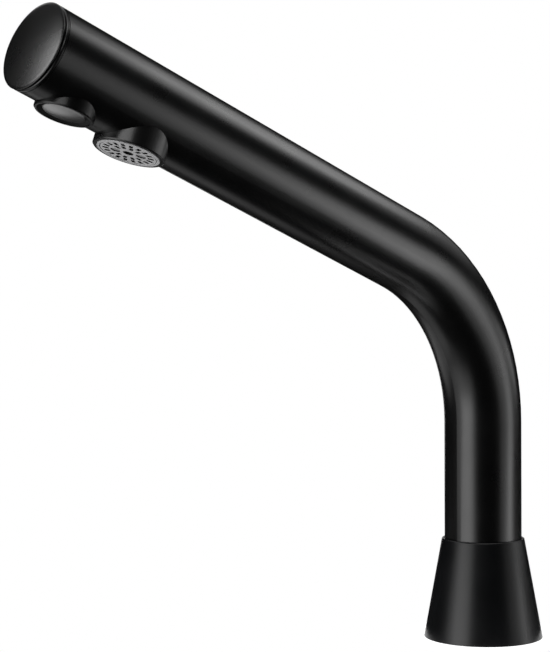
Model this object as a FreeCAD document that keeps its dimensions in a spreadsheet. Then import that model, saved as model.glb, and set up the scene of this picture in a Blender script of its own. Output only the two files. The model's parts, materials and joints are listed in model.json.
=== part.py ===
"""Deck-mounted sensor tap with a bent tube spout.

Frame: millimetres, +Z up, the origin on the deck under the middle of the riser, the spout towards -Y.
A presence sensor and an outlet hang under the spout's end. Inside, a solenoid valve in the riser feeds a
hose to the outlet, and a check valve sits in the inlet. The base is clamped through a hole in the deck.
"""
import FreeCAD, Part
import math
import os
import re
import Sketcher
from FreeCAD import Placement, Rotation, Vector

# Driving dimensions, in millimetres, degrees and counts
SIZES = {
    # Fits
    "fit_gap": 0.05,
    "slip_gap": 0.2,
    "running_gap": 0.08,
    "seal_gap": 0.02,
    "groove_slack": 0.1,
    # Spout tube: a riser, one bend and a straight run up to the cap's front
    "tube_radius": 17.0,
    "tube_wall": 2.0,
    "riser_height": 95.4,
    "bend_radius": 80.7,
    "spout_tilt": 21.1,
    "spout_length": 200.9,
    # End cap
    "cap_thickness": 4.1,
    "cap_dome_radius": 110.0,
    "cap_edge_round": 0.4,
    "cap_seam": 0.3,
    "plug_depth": 6.0,
    "plug_wall": 3.5,
    "cap_oring_wire": 0.75,
    # Sensor, measured from the spout's axis down through the boss
    "sensor_setback": 0.4,
    "sensor_boss_radius": 11.3,
    "sensor_boss_stand": 0.8,
    "sensor_boss_wall": 1.2,
    "sensor_spigot_step": 0.5,
    "sensor_shoulder": 2.8,
    "boss_edge": 0.4,
    "lens_radius": 8.3,
    "lens_proud": 0.25,
    "lens_dome_radius": 36.0,
    "lens_flange_width": 1.4,
    "lens_flange_height": 1.2,
    "bezel_sink": 0.2,
    "bezel_bevel": 0.7,
    "bezel_height": 2.2,
    "sensor_gasket_height": 0.8,
    "sensor_gasket_width": 2.2,
    "housing_radius": 8.9,
    "housing_wall": 1.1,
    "housing_rim_height": 1.0,
    "housing_length": 17.4,
    "board_ledge": 1.0,
    "board_thickness": 1.2,
    "board_depth": 5.4,
    "diode_radius": 2.3,
    "diode_flange": 0.4,
    "diode_flange_height": 1.0,
    "diode_height": 4.6,
    "diode_spacing": 7.0,
    "turret_width": 7.2,
    "turret_length": 8.0,
    "turret_cover": 0.25,
    # Outlet and its aerator
    "boss_spacing": 6.4,
    "outlet_boss_radius": 13.9,
    "outlet_boss_stand": 1.9,
    "outlet_spigot_step": 0.9,
    "outlet_floor": 2.2,
    "neck_radius": 8.5,
    "neck_clearance": 0.5,
    "aerator_radius": 12.1,
    "aerator_proud": 0.2,
    "aerator_wall": 1.0,
    "aerator_lip": 0.9,
    "aerator_lip_height": 0.8,
    "aerator_gasket_height": 1.2,
    "aerator_gasket_width": 3.6,
    "filter_height": 1.2,
    "filter_hole_radius": 0.55,
    "filter_hole_count": 8,
    "filter_ring_count": 3,
    "filter_ring_step": 2.6,
    "regulator_height": 1.6,
    "regulator_hole_radius": 1.1,
    "regulator_hole_circle": 6.4,
    "regulator_hole_count": 8,
    "straightener_height": 3.7,
    "straightener_sink": 0.15,
    "straightener_gap": 0.3,
    "straightener_face_height": 1.6,
    "slot_width": 1.5,
    "slot_length": 2.4,
    "outer_slot_circle": 8.7,
    "outer_slot_count": 18,
    "inner_slot_circle": 5.6,
    "inner_slot_count": 4,
    "inner_slot_pitch": 30.0,
    "centre_hole_radius": 2.0,
    "key_hole_radius": 1.9,
    "key_hole_circle": 4.9,
    "key_hole_depth": 0.45,
    "key_hole_turn": 132.0,
    # Waterway in the spout
    "elbow_radius": 7.0,
    "elbow_rise": 6.0,
    "elbow_stub_radius": 5.5,
    "elbow_stub_length": 5.4,
    "elbow_oring_wire": 0.6,
    "barb_length": 13.0,
    "waterway_radius": 2.2,
    "down_bore_radius": 2.9,
    "hose_radius": 4.0,
    "hose_bore": 3.0,
    "hose_end_gap": 0.5,
    "ferrule_wall": 0.6,
    "ferrule_length": 8.0,
    "ferrule_setback": 1.5,
    # Leads between the sensor, the coil and the power socket
    "lead_radius": 1.3,
    "lead_spacing": 3.2,
    "lead_clearance": 0.9,
    "lead_gap": 0.3,
    # Base
    "gasket_thickness": 2.0,
    "gasket_inset": 0.2,
    "flange_thickness": 8.0,
    "flange_step": 4.5,
    "spigot_height": 20.0,
    "base_bore": 9.0,
    "tube_screw_count": 3,
    "tube_screw_turn": 30.0,
    "tube_screw_radius": 2.0,
    "tube_screw_rise": 10.0,
    "tube_screw_depth": 4.2,
    "tube_screw_head_radius": 3.5,
    "tube_screw_head_height": 2.0,
    "tube_screw_key": 1.25,
    # Conical cover over the base
    "skirt_height": 43.7,
    "skirt_lip": 1.0,
    "skirt_flare": 7.95,
    "skirt_wall": 1.8,
    "skirt_land": 12.0,
    "skirt_edge_round": 0.4,
    "skirt_oring_wire": 0.6,
    # Solenoid valve
    "stub_length": 15.0,
    "stub_bore": 5.0,
    "port_gap": 1.0,
    "valve_oring_wire": 0.6,
    "valve_collar_height": 12.0,
    "orifice_radius": 2.2,
    "seat_width": 0.8,
    "seat_height": 2.0,
    "seat_depth": 8.0,
    "valve_floor": 2.0,
    "chamber_depth": 6.0,
    "core_radius": 6.0,
    "core_wall": 0.5,
    "core_oring_wire": 0.55,
    "core_stand": 5.0,
    "plunger_length": 20.0,
    "pole_gap": 1.6,
    "plunger_groove": 1.6,
    "plunger_groove_count": 4,
    "plunger_seal_radius": 3.4,
    "plunger_seal_height": 2.0,
    "plunger_seal_proud": 0.6,
    "spring_pocket_radius": 3.2,
    "spring_pocket_depth": 7.0,
    "plunger_spring_radius": 2.5,
    "plunger_spring_wire": 0.3,
    "plunger_spring_turns": 5,
    "pole_bore": 1.7,
    "pole_shoulder_height": 1.5,
    "barb_margin": 2.4,
    # Coil
    "coil_height": 24.0,
    "yoke_wall": 0.8,
    "yoke_top": 1.5,
    "bobbin_hub": 0.9,
    "bobbin_flange": 1.2,
    "winding_inset": 0.3,
    "terminal_width": 2.8,
    "terminal_gap": 0.3,
    "coil_nut_radius": 8.4,
    "coil_nut_height": 4.0,
    # Inlet
    "inlet_thread_radius": 8.33,
    "inlet_thread_length": 12.0,
    "inlet_shank_radius": 7.0,
    "inlet_bore": 5.0,
    "inlet_drop": 46.0,
    "inlet_hex_radius": 9.2,
    "inlet_hex_height": 6.0,
    "nipple_wall": 2.5,
    "nipple_oring_wire": 0.55,
    "nipple_oring_depth": 6.0,
    "strainer_height": 10.0,
    "strainer_wall": 0.7,
    "strainer_rim_height": 1.5,
    "strainer_slot_width": 0.9,
    "strainer_slot_count": 8,
    "strainer_slot_margin": 3.0,
    # Check valve cartridge
    "check_length": 16.0,
    "check_inset": 1.0,
    "check_wall": 1.2,
    "check_seat_radius": 3.0,
    "check_seat_height": 1.5,
    "check_cover_height": 1.5,
    "check_port_circle": 3.44,
    "check_port_radius": 1.2,
    "check_port_count": 4,
    "poppet_radius": 4.2,
    "poppet_height": 2.0,
    "poppet_stem_radius": 1.4,
    "check_seal_height": 1.5,
    "check_seal_margin": 0.3,
    "poppet_nub_radius": 1.0,
    "check_spring_radius": 2.3,
    "check_spring_wire": 0.3,
    "check_spring_turns": 5,
    # Power socket under the base
    "socket_radius": 3.0,
    "socket_depth": 6.0,
    "socket_collar": 0.6,
    "socket_drop": 7.0,
    "socket_bore": 1.6,
    "socket_bore_depth": 6.0,
    # Deck clamp
    "stud_offset": 14.0,
    "stud_radius": 3.0,
    "stud_thread_step": 0.3,
    "stud_reach": 6.0,
    "stud_length": 62.0,
    "stud_shank_top": 3.0,
    "stud_shank_length": 13.0,
    "deck_hole_margin": 0.6,
    "deck_thickness": 17.0,
    "clamp_radius": 24.0,
    "clamp_clearance": 0.3,
    "clamp_washer_height": 3.0,
    "clamp_washer_inset": 1.0,
    "clamp_plate_height": 3.0,
    "stud_nut_radius": 5.75,
    "stud_nut_height": 5.0,
    "stud_nut_turn": 30.0,
}

ROUND = 360.0
QUARTER = ROUND / 4
HEX_SIDES = 6
EDGE_MATCH = 1e-4
LEAST_CUT = 1e-6
doc = FreeCAD.newDocument("sensor_tap")
sheet = doc.addObject("Spreadsheet::Sheet", "sizes")
for row, (alias, size) in enumerate(SIZES.items(), start=1):
    sheet.set(f"A{row}", alias)
    sheet.set(f"B{row}", str(size))
    sheet.setAlias(f"B{row}", alias)
doc.recompute()


# Formulas: words from the sheet, bound to the properties that they drive

def linked(formula):
    """The formula with every size read from the sheet."""
    return re.sub(r"[a-z_]+", lambda word: f"sizes.{word[0]}" if word[0] in SIZES else word[0], formula)


def number(formula):
    """What the formula comes to now."""
    return float(sheet.evalExpression(formula))


def bind(thing, prop, formula):
    thing.setExpression(prop, linked(formula))


def place(thing, where):
    """Put a thing at a bound place: x, y, z, the axis that it turns about, and the angle."""
    x, y, z, axis, angle = where
    base = Vector(number(x), number(y), number(z))
    thing.Placement = Placement(base, Rotation(axis, number(angle)))
    for prop, formula in (("Base.x", x), ("Base.y", y), ("Base.z", z), ("Rotation.Angle", angle)):
        if formula != "0":
            bind(thing, f"Placement.{prop}", formula)
    return thing


ABOUT_X = Vector(1, 0, 0)
ABOUT_Z = Vector(0, 0, 1)
TIP_Y = "(-bend_radius * (1 - sin(spout_tilt)) - spout_length * cos(spout_tilt))"
TIP_Z = "(riser_height + bend_radius * cos(spout_tilt) + spout_length * sin(spout_tilt))"


def standing(z, x="0", y="0", turn="0"):
    """Upright, about the riser's axis or beside it."""
    return x, y, z, ABOUT_Z, turn


def on_spout(back, drop, angle, x="0"):
    """On the spout, so far back from the cap's front and so far below the spout's axis."""
    y = f"({TIP_Y} + ({back}) * cos(spout_tilt) - ({drop}) * sin(spout_tilt))"
    z = f"({TIP_Z} - ({back}) * sin(spout_tilt) - ({drop}) * cos(spout_tilt))"
    return x, y, z, ABOUT_X, angle


def facing_down(back, drop, x="0"):
    """Local +Z square to the spout and downwards, local +Y towards the tip."""
    return on_spout(back, drop, "180 - spout_tilt", x)


def facing_tip(back):
    """Local +Z along the spout towards the tip."""
    return on_spout(back, "0", "90 - spout_tilt")


def facing_back(back):
    """Local +Z along the spout towards the riser."""
    return on_spout(back, "0", "-90 - spout_tilt")


# Makers of bodies and primitives

def plane(body, role):
    return next(feature for feature in body.Origin.OriginFeatures if feature.Role == role)


def new_sketch(body, role, name):
    sketch = body.newObject("Sketcher::SketchObject", name)
    sketch.AttachmentSupport = (plane(body, role), [""])
    sketch.MapMode = "FlatFace"
    return sketch


def hold(sketch, kind, *where, formula=None):
    """Add a constraint, with its value bound to a formula."""
    if formula is None:
        sketch.addConstraint(Sketcher.Constraint(kind, *where))
        return
    index = sketch.addConstraint(Sketcher.Constraint(kind, *where, number(formula)))
    bind(sketch, f"Constraints[{index}]", formula)


def arc_between(start, end, radius):
    """A short arc that bulges to the right of the way from start to end, so it turns anticlockwise."""
    chord = end - start
    left = Vector(-chord.y, chord.x, 0).normalize()
    centre = (start + end) * 0.5 + left * math.sqrt(radius ** 2 - (chord.Length / 2) ** 2)
    angles = [math.atan2(point.y - centre.y, point.x - centre.x) for point in (start, end)]
    return Part.ArcOfCircle(Part.Circle(centre, ABOUT_Z, radius), *angles)


def turned(label, where, outline):
    """A body turned about its local Z. Corners are (radius, height), anticlockwise, and one with a third
    value starts an arc of that radius."""
    body = doc.addObject("PartDesign::Body", label)
    sketch = new_sketch(body, "XZ_Plane", f"{label}_outline")
    corners = [Vector(number(corner[0]), number(corner[1]), 0) for corner in outline]
    count = len(outline)
    for index, corner in enumerate(outline):
        start, end = corners[index], corners[(index + 1) % count]
        if len(corner) > 2:
            sketch.addGeometry(arc_between(start, end, number(corner[2])))
        else:
            sketch.addGeometry(Part.LineSegment(start, end))
    for index, corner in enumerate(outline):
        hold(sketch, "Coincident", index, 2, (index + 1) % count, 1)
        for kind, axis, formula in (("DistanceX", -2, corner[0]), ("DistanceY", -1, corner[1])):
            if formula == "0":
                hold(sketch, "PointOnObject", index, 1, axis)
            else:
                hold(sketch, kind, -1, 1, index, 1, formula=formula)
        if len(corner) > 2:
            hold(sketch, "Radius", index, formula=corner[2])
    revolution = body.newObject("PartDesign::Revolution", f"{label}_turning")
    revolution.Profile = sketch
    revolution.ReferenceAxis = (sketch, ["V_Axis"])
    revolution.Angle = ROUND
    doc.recompute()
    return place(body, where)


def ring(label, where, bore, radius, height):
    """A plain turned ring or, with a bore of 0, a disc."""
    return turned(label, where, [(bore, "0"), (radius, "0"), (radius, height), (bore, height)])


def rounded(body, radius, *corners):
    """Round a turned body's edges at the given (radius, height) corners."""
    base = body.Tip
    names = []
    for index, edge in enumerate(base.Shape.Edges, start=1):
        if edge.Degenerated or not isinstance(edge.Curve, Part.Circle):
            continue
        for edge_radius, height in corners:
            aside = abs(edge.Curve.Radius - number(edge_radius))
            if aside + abs(edge.Curve.Center.z - number(height)) < EDGE_MATCH:
                names.append(f"Edge{index}")
    fillet = body.newObject("PartDesign::Fillet", f"{body.Name}_round")
    fillet.Base = (base, names)
    bind(fillet, "Radius", radius)
    body.Tip = fillet
    doc.recompute()


def pocket(body, sketch, depth=None):
    """Cut a sketch upwards from the body's own bottom plane, right through or to a depth."""
    before = body.Shape.Volume
    cut = body.newObject("PartDesign::Pocket", f"{sketch.Name}_cut")
    cut.Profile = sketch
    cut.Reversed = True
    if depth is None:
        cut.Type = "ThroughAll"
    else:
        cut.Type = "Length"
        bind(cut, "Length", depth)
    doc.recompute()
    if not body.Shape.Volume < before - LEAST_CUT:
        raise ValueError(f"{cut.Name} cuts nothing")
    return cut


def repeat(body, cut, sketch, count, angle):
    """Repeat a cut about the body's axis."""
    pattern = body.newObject("PartDesign::PolarPattern", f"{cut.Name}_pattern")
    pattern.Originals = [cut]
    pattern.Axis = (sketch, ["N_Axis"])
    bind(pattern, "Angle", angle)
    bind(pattern, "Occurrences", count)
    body.Tip = pattern
    doc.recompute()


def round_holes(body, name, circle, radius, count):
    """Round holes right through, evenly spaced on a circle."""
    sketch = new_sketch(body, "XY_Plane", name)
    sketch.addGeometry(Part.Circle(Vector(number(circle), 0, 0), ABOUT_Z, number(radius)))
    hold(sketch, "PointOnObject", 0, 3, -1)
    hold(sketch, "DistanceX", -1, 1, 0, 3, formula=circle)
    hold(sketch, "Radius", 0, formula=radius)
    repeat(body, pocket(body, sketch), sketch, count, f"{ROUND}")


def bar_cut(body, name, middle, length, width, angle, depth=None):
    """Cut one straight bar, its middle at a radius and its length along the radius, at an angle."""
    sketch = new_sketch(body, "XY_Plane", name)
    sketch.AttachmentOffset = Placement(Vector(), Rotation(ABOUT_Z, number(angle)))
    if angle != "0":
        bind(sketch, "AttachmentOffset.Rotation.Angle", angle)
    near = number(middle) - number(length) / 2
    far = number(middle) + number(length) / 2
    side = number(width) / 2
    corners = [Vector(near, -side, 0), Vector(far, -side, 0), Vector(far, side, 0), Vector(near, side, 0)]
    for index, corner in enumerate(corners):
        sketch.addGeometry(Part.LineSegment(corner, corners[(index + 1) % len(corners)]))
    for index in range(len(corners)):
        hold(sketch, "Coincident", index, 2, (index + 1) % len(corners), 1)
    for index, kind in ((0, "Horizontal"), (2, "Horizontal"), (3, "Vertical")):
        hold(sketch, kind, index)
    hold(sketch, "Symmetric", 1, 1, 1, 2, -1)
    hold(sketch, "DistanceY", 1, 1, 1, 2, formula=width)
    hold(sketch, "DistanceX", 0, 1, 0, 2, formula=length)
    hold(sketch, "DistanceX", -1, 1, 0, 1, formula=f"{middle} - ({length}) / 2")
    return pocket(body, sketch, depth), sketch


def bent_tube(label, start, run, radius, bore=None, out="0", x="0"):
    """A round tube along the spout's line, or beside it on the outside of the bend, from a height on the
    riser to the end of a straight run past the bend."""
    body = doc.addObject("PartDesign::Body", label)
    path = new_sketch(body, "XZ_Plane", f"{label}_path")
    rise, bend = f"riser_height - ({start})", f"bend_radius + ({out})"
    tilt = math.radians(number("spout_tilt"))
    foot = Vector(0, number(rise), 0)
    centre = foot + Vector(number(bend), 0, 0)
    bend_end = centre + Vector(-math.sin(tilt), math.cos(tilt), 0) * number(bend)
    far_end = bend_end + Vector(math.cos(tilt), math.sin(tilt), 0) * number(run)
    path.addGeometry(Part.LineSegment(Vector(), foot))
    circle = Part.Circle(centre, ABOUT_Z, number(bend))
    path.addGeometry(Part.ArcOfCircle(circle, math.pi / 2 + tilt, math.pi))
    path.addGeometry(Part.LineSegment(bend_end, far_end))
    hold(path, "Coincident", 0, 1, -1, 1)
    hold(path, "PointOnObject", 0, 2, -2)
    hold(path, "DistanceY", 0, 1, 0, 2, formula=rise)
    hold(path, "Tangent", 0, 2, 1, 2)
    hold(path, "Radius", 1, formula=bend)
    hold(path, "Tangent", 1, 1, 2, 1)
    hold(path, "Distance", 2, formula=run)
    angle = path.addConstraint(Sketcher.Constraint("Angle", -1, 1, 2, 1, tilt))
    bind(path, f"Constraints[{angle}]", "spout_tilt")
    section = new_sketch(body, "XY_Plane", f"{label}_section")
    for index, size in enumerate(size for size in (radius, bore) if size):
        section.addGeometry(Part.Circle(Vector(), ABOUT_Z, number(size)))
        hold(section, "Coincident", index, 3, -1, 1)
        hold(section, "Radius", index, formula=size)
    sweep = body.newObject("PartDesign::AdditivePipe", f"{label}_sweep")
    sweep.Profile = section
    sweep.Spine = path
    doc.recompute()
    return place(body, (x, out, start, ABOUT_Z, f"-{QUARTER}"))


def rod(label, where, radius, height):
    cylinder = doc.addObject("Part::Cylinder", label)
    bind(cylinder, "Radius", radius)
    bind(cylinder, "Height", height)
    return place(cylinder, where)


def block(label, where, length, width, height):
    box = doc.addObject("Part::Box", label)
    bind(box, "Length", length)
    bind(box, "Width", width)
    bind(box, "Height", height)
    return place(box, where)


def hexagon(label, where, radius, height):
    prism = doc.addObject("Part::Prism", label)
    prism.Polygon = HEX_SIDES
    bind(prism, "Circumradius", radius)
    bind(prism, "Height", height)
    return place(prism, where)


def o_ring(label, where, radius, wire):
    torus = doc.addObject("Part::Torus", label)
    bind(torus, "Radius1", radius)
    bind(torus, "Radius2", wire)
    return place(torus, where)


def joined(label, *pieces):
    fuse = doc.addObject("Part::MultiFuse", label)
    fuse.Shapes = list(pieces)
    fuse.Refine = True
    return fuse


def cut_from(label, base, *tools):
    cut = doc.addObject("Part::Cut", label)
    cut.Base = base
    cut.Tool = tools[0] if len(tools) == 1 else joined(f"{label}_tools", *tools)
    return cut


def group(label, members):
    """Separate solids of one kind, in one node."""
    compound = doc.addObject("Part::Compound", label)
    compound.Links = list(members)
    return compound


def biarc(start, start_way, end, end_way):
    """Two arcs that leave the start and reach the end along the given unit directions."""
    chord, ways = end - start, start_way + end_way
    spread = 2 * (1 - start_way.dot(end_way))
    across = chord.dot(ways)
    reach = (math.sqrt(across ** 2 + spread * chord.dot(chord)) - across) / spread
    meeting = (start + end + (start_way - end_way) * reach) * 0.5
    arcs = []
    for point, way, target in ((start, start_way, meeting), (end, end_way * -1, meeting)):
        span = target - point
        side = (way - span * (way.dot(span) / span.dot(span))).normalize()
        lean = math.acos(way.dot(span) / span.Length)
        middle = point + span * 0.5 + side * (span.Length / 2 * math.tan(lean / 2))
        ends = (point, middle, target) if point == start else (target, middle, point)
        arcs.append(Part.Arc(*ends).toShape())
    return arcs


QUARTERS = 4


def spring(label, where, radius, wire, height, turns):
    """A wire spring about its local Z, its ends lying on both seats."""
    coil, thick, tall, count = number(radius), number(wire), number(height), number(turns)
    climb = (tall - 2 * thick) / (2 * math.pi * count)

    def point_and_way(angle):
        point = Vector(coil * math.cos(angle), coil * math.sin(angle), thick + climb * angle)
        way = Vector(-coil * math.sin(angle), coil * math.cos(angle), climb).normalize()
        return point, way

    stops = [point_and_way(step * math.pi / 2) for step in range(round(QUARTERS * count) + 1)]
    edges = [arc for one, two in zip(stops, stops[1:]) for arc in biarc(*one, *two)]
    start, way = stops[0]
    shell = Part.BRepOffsetAPI.MakePipeShell(Part.Wire(edges))
    shell.add(Part.Wire(Part.Circle(start, way, thick).toShape()))
    shell.build()
    shell.makeSolid()
    points = [stop[0] for stop in stops]
    gap = min(one.distanceToPoint(two) for one, two in zip(points, points[QUARTERS:])) - 2 * thick
    print(f"{label}: least gap between turns {gap:.2f} mm")
    feature = doc.addObject("Part::Feature", label)
    feature.Shape = shell.shape()
    return place(feature, where)


# Places and sizes that follow from the driving dimensions

TUBE_BORE = "(tube_radius - tube_wall)"
SENSOR_BACK = "(cap_thickness + plug_depth + sensor_setback + sensor_boss_radius)"
OUTLET_BACK = f"({SENSOR_BACK} + sensor_boss_radius + boss_spacing + outlet_boss_radius)"
SENSOR_RIM = "(tube_radius + sensor_boss_stand)"
SENSOR_SEAT = "(sensor_boss_radius - sensor_boss_wall)"
SENSOR_SPIGOT = "(sensor_boss_radius - sensor_spigot_step)"
BEZEL_BACK = f"({SENSOR_RIM} - bezel_sink - bezel_height)"
LENS_BACK = f"({BEZEL_BACK} - lens_flange_height)"
SENSOR_LEDGE = f"({LENS_BACK} - sensor_gasket_height - housing_rim_height)"
HOUSING_TOP = f"({SENSOR_LEDGE} - housing_length)"
BOARD_BACK = f"({SENSOR_LEDGE} - board_depth)"
OUTLET_RIM = "(tube_radius + outlet_boss_stand)"
NECK_TOP = "(hose_radius + neck_clearance)"
OUTLET_SPIGOT = "(outlet_boss_radius - outlet_spigot_step)"
AERATOR_FACE = f"({OUTLET_RIM} + aerator_proud)"
AERATOR_BORE = "(aerator_radius - aerator_wall)"
STRAIGHTENER_FACE = f"({AERATOR_FACE} - straightener_sink)"
STRAIGHTENER_BACK = f"({STRAIGHTENER_FACE} - straightener_height)"
REGULATOR_BACK = f"({STRAIGHTENER_BACK} - regulator_height)"
FILTER_BACK = f"({REGULATOR_BACK} - filter_height)"
AERATOR_BACK = f"({FILTER_BACK} - aerator_lip_height)"
OUTLET_LEDGE = f"({AERATOR_BACK} - aerator_gasket_height)"
BARB_RADIUS = "(hose_bore - fit_gap)"
HOSE_END = f"({OUTLET_BACK} + elbow_radius + hose_end_gap)"
LEAD_OUT = f"({TUBE_BORE} - lead_clearance - lead_radius)"
COIL_RADIUS = f"({LEAD_OUT} - lead_radius - lead_gap)"
FLANGE_TOP = "(gasket_thickness + flange_thickness)"
FLANGE_RADIUS = "(tube_radius + flange_step)"
SPIGOT_TOP = f"({FLANGE_TOP} + spigot_height)"
SPIGOT_RADIUS = f"({TUBE_BORE} - fit_gap)"
STUB_RADIUS = "(base_bore - fit_gap)"
STUB_BOTTOM = f"({SPIGOT_TOP} - stub_length)"
COLLAR_TOP = f"({SPIGOT_TOP} + valve_collar_height)"
SEAT_TOP = f"({COLLAR_TOP} - seat_depth)"
CORE_BORE = "(core_radius - core_wall)"
CORE_BOTTOM = f"({COLLAR_TOP} - chamber_depth)"
COIL_TOP = f"({COLLAR_TOP} + coil_height)"
CORE_TOP = f"({COIL_TOP} + core_stand)"
PLUNGER_BOTTOM = f"({SEAT_TOP} + plunger_seal_proud)"
PLUNGER_TOP = f"({PLUNGER_BOTTOM} + plunger_length)"
POLE_BOTTOM = f"({PLUNGER_TOP} + pole_gap)"
HOSE_START = f"({CORE_TOP} + pole_shoulder_height)"
NIPPLE_TOP = f"({STUB_BOTTOM} - port_gap)"
NIPPLE_BOTTOM = "(gasket_thickness - inlet_drop)"
CHECK_RADIUS = f"({STUB_RADIUS} - nipple_wall)"
CHECK_BOTTOM = f"({NIPPLE_TOP} - check_inset - check_length)"
CHECK_BORE = f"({CHECK_RADIUS} - fit_gap - check_wall)"
POPPET_BOTTOM = f"({CHECK_BOTTOM} + check_seat_height + fit_gap + check_seal_height)"
CHECK_COVER = f"({CHECK_BOTTOM} + check_length - check_cover_height)"
LEAD_SIDE = "(lead_spacing / 2)"
CLAMP_TOP = "(-deck_thickness)"
PLATE_TOP = f"({CLAMP_TOP} - clamp_washer_height)"
NUT_TOP = f"({PLATE_TOP} - clamp_plate_height)"
SKIRT_BORE = "(tube_radius + slip_gap)"
SKIRT_TOP_RADIUS = f"({SKIRT_BORE} + skirt_lip)"
SKIRT_LAND_FOOT = "(skirt_height - skirt_land)"


def shaft_groove(bore, wire, middle, surface):
    """Four outline corners of a ring groove in a shaft, read upwards, for a ring that seals in a bore."""
    floor = f"{bore} - 2 * {wire} - 2 * seal_gap"
    low, high = f"{middle} - {wire} - groove_slack", f"{middle} + {wire} + groove_slack"
    return [(surface, low), (floor, low), (floor, high), (surface, high)]


def bore_groove(shaft, wire, middle, surface):
    """Four outline corners of a ring groove in a bore, read downwards, for a ring that seals on a shaft."""
    floor = f"{shaft} + 2 * {wire} + 2 * seal_gap"
    low, high = f"{middle} - {wire} - groove_slack", f"{middle} + {wire} + groove_slack"
    return [(surface, high), (floor, high), (floor, low), (surface, low)]


def ring_in_bore(label, where, bore, wire):
    return o_ring(label, where, f"{bore} - {wire} - seal_gap", wire)


def ring_on_shaft(label, where, shaft, wire):
    return o_ring(label, where, f"{shaft} + {wire} + seal_gap", wire)


# Screws through the riser's wall

def screw_places(rise, reach):
    """Places round the riser whose local +Z points outwards, so far from the axis."""
    places = []
    for index in range(SIZES["tube_screw_count"]):
        turn = f"(tube_screw_turn + {index} * {ROUND} / tube_screw_count)"
        places.append((turn, f"({reach}) * cos{turn}", f"({reach}) * sin{turn}", rise))
    return places


def radial_rod(label, turn, x, y, z, radius, height):
    """A rod that points away from the riser's axis, level, at a turn about it."""
    cylinder = doc.addObject("Part::Cylinder", label)
    bind(cylinder, "Radius", radius)
    bind(cylinder, "Height", height)
    return aimed(cylinder, turn, x, y, z)


def aimed(thing, turn, x, y, z):
    """Aim a thing's local +Z level and outwards from the riser, at a turn about it."""
    bind(thing, "Placement", f"create(<<placement>>; create(<<vector>>; {x}; {y}; {z}); "
         f"create(<<rotation>>; {turn}; {QUARTER}; 0))")
    return thing


SCREW_HEIGHT = f"({FLANGE_TOP} + tube_screw_rise)"


# Spout tube and its cap

def make_spout_tube():
    run = "spout_length - cap_thickness"
    blank = bent_tube("spout_tube_blank", FLANGE_TOP, run, "tube_radius", TUBE_BORE)
    reach = "2 * tube_radius"
    tools = [
        rod("sensor_hole", facing_down(SENSOR_BACK, "0"), f"{SENSOR_SPIGOT} + fit_gap", reach),
        rod("outlet_hole", facing_down(OUTLET_BACK, "0"), f"{OUTLET_SPIGOT} + fit_gap", reach),
    ]
    for index, aim in enumerate(screw_places(SCREW_HEIGHT, "0")):
        tools.append(radial_rod(f"tube_screw_hole_{index}", *aim, "tube_screw_radius + fit_gap", reach))
    return cut_from("spout_tube", blank, *tools)


def make_end_cap():
    plug = f"({TUBE_BORE} - fit_gap)"
    bore = f"({plug} - plug_wall)"
    front = "(plug_depth + cap_thickness)"
    edge = f"({front} - cap_dome_radius + sqrt(cap_dome_radius ^ 2 - tube_radius ^ 2))"
    cap = turned("end_cap", facing_tip("cap_thickness + plug_depth"), [
        (bore, "0"),
        (plug, "0"),
        *shaft_groove(TUBE_BORE, "cap_oring_wire", "(plug_depth / 2)", plug),
        (plug, "plug_depth"),
        ("tube_radius - cap_seam", "plug_depth"),
        ("tube_radius", "plug_depth + cap_seam"),
        ("tube_radius", edge, "cap_dome_radius"),
        ("0", front),
        ("0", "plug_depth"),
        (bore, "plug_depth"),
    ])
    rounded(cap, "cap_edge_round", ("tube_radius", edge))
    ring_in_bore("cap_oring", facing_tip("cap_thickness + plug_depth / 2"), TUBE_BORE, "cap_oring_wire")


# Presence sensor

def saddled(label, back, core, inner_end, inner_radius, radius, rim):
    """A boss under the tube: a turned core through the wall and a collar that seats on the tube."""
    height = f"({rim} - {inner_end})"
    collar = turned(f"{label}_collar", facing_down(back, inner_end), [
        (inner_radius, "0"),
        (radius, "0"),
        (radius, f"{height} - boss_edge"),
        (f"{radius} - boss_edge", height),
        (inner_radius, height),
    ])
    tube = rod(f"{label}_tube", facing_tip(f"{back} + {radius} + boss_edge"), "tube_radius + fit_gap",
               f"2 * ({radius} + boss_edge)")
    return joined(label, cut_from(f"{label}_saddle", collar, tube), core)


def make_sensor_boss():
    inner_end = f"({SENSOR_LEDGE} - sensor_shoulder)"
    height = f"({SENSOR_RIM} - {inner_end})"
    bore = "(housing_radius + fit_gap)"
    core = turned("sensor_boss_core", facing_down(SENSOR_BACK, inner_end), [
        (bore, "0"),
        (SENSOR_SPIGOT, "0"),
        (SENSOR_SPIGOT, height),
        (SENSOR_SEAT, height),
        (SENSOR_SEAT, "sensor_shoulder"),
        (bore, "sensor_shoulder"),
    ])
    inner_radius = f"(({SENSOR_SPIGOT} + {SENSOR_SEAT}) / 2)"
    saddled("sensor_boss", SENSOR_BACK, core, inner_end, inner_radius, "sensor_boss_radius", SENSOR_RIM)


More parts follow.
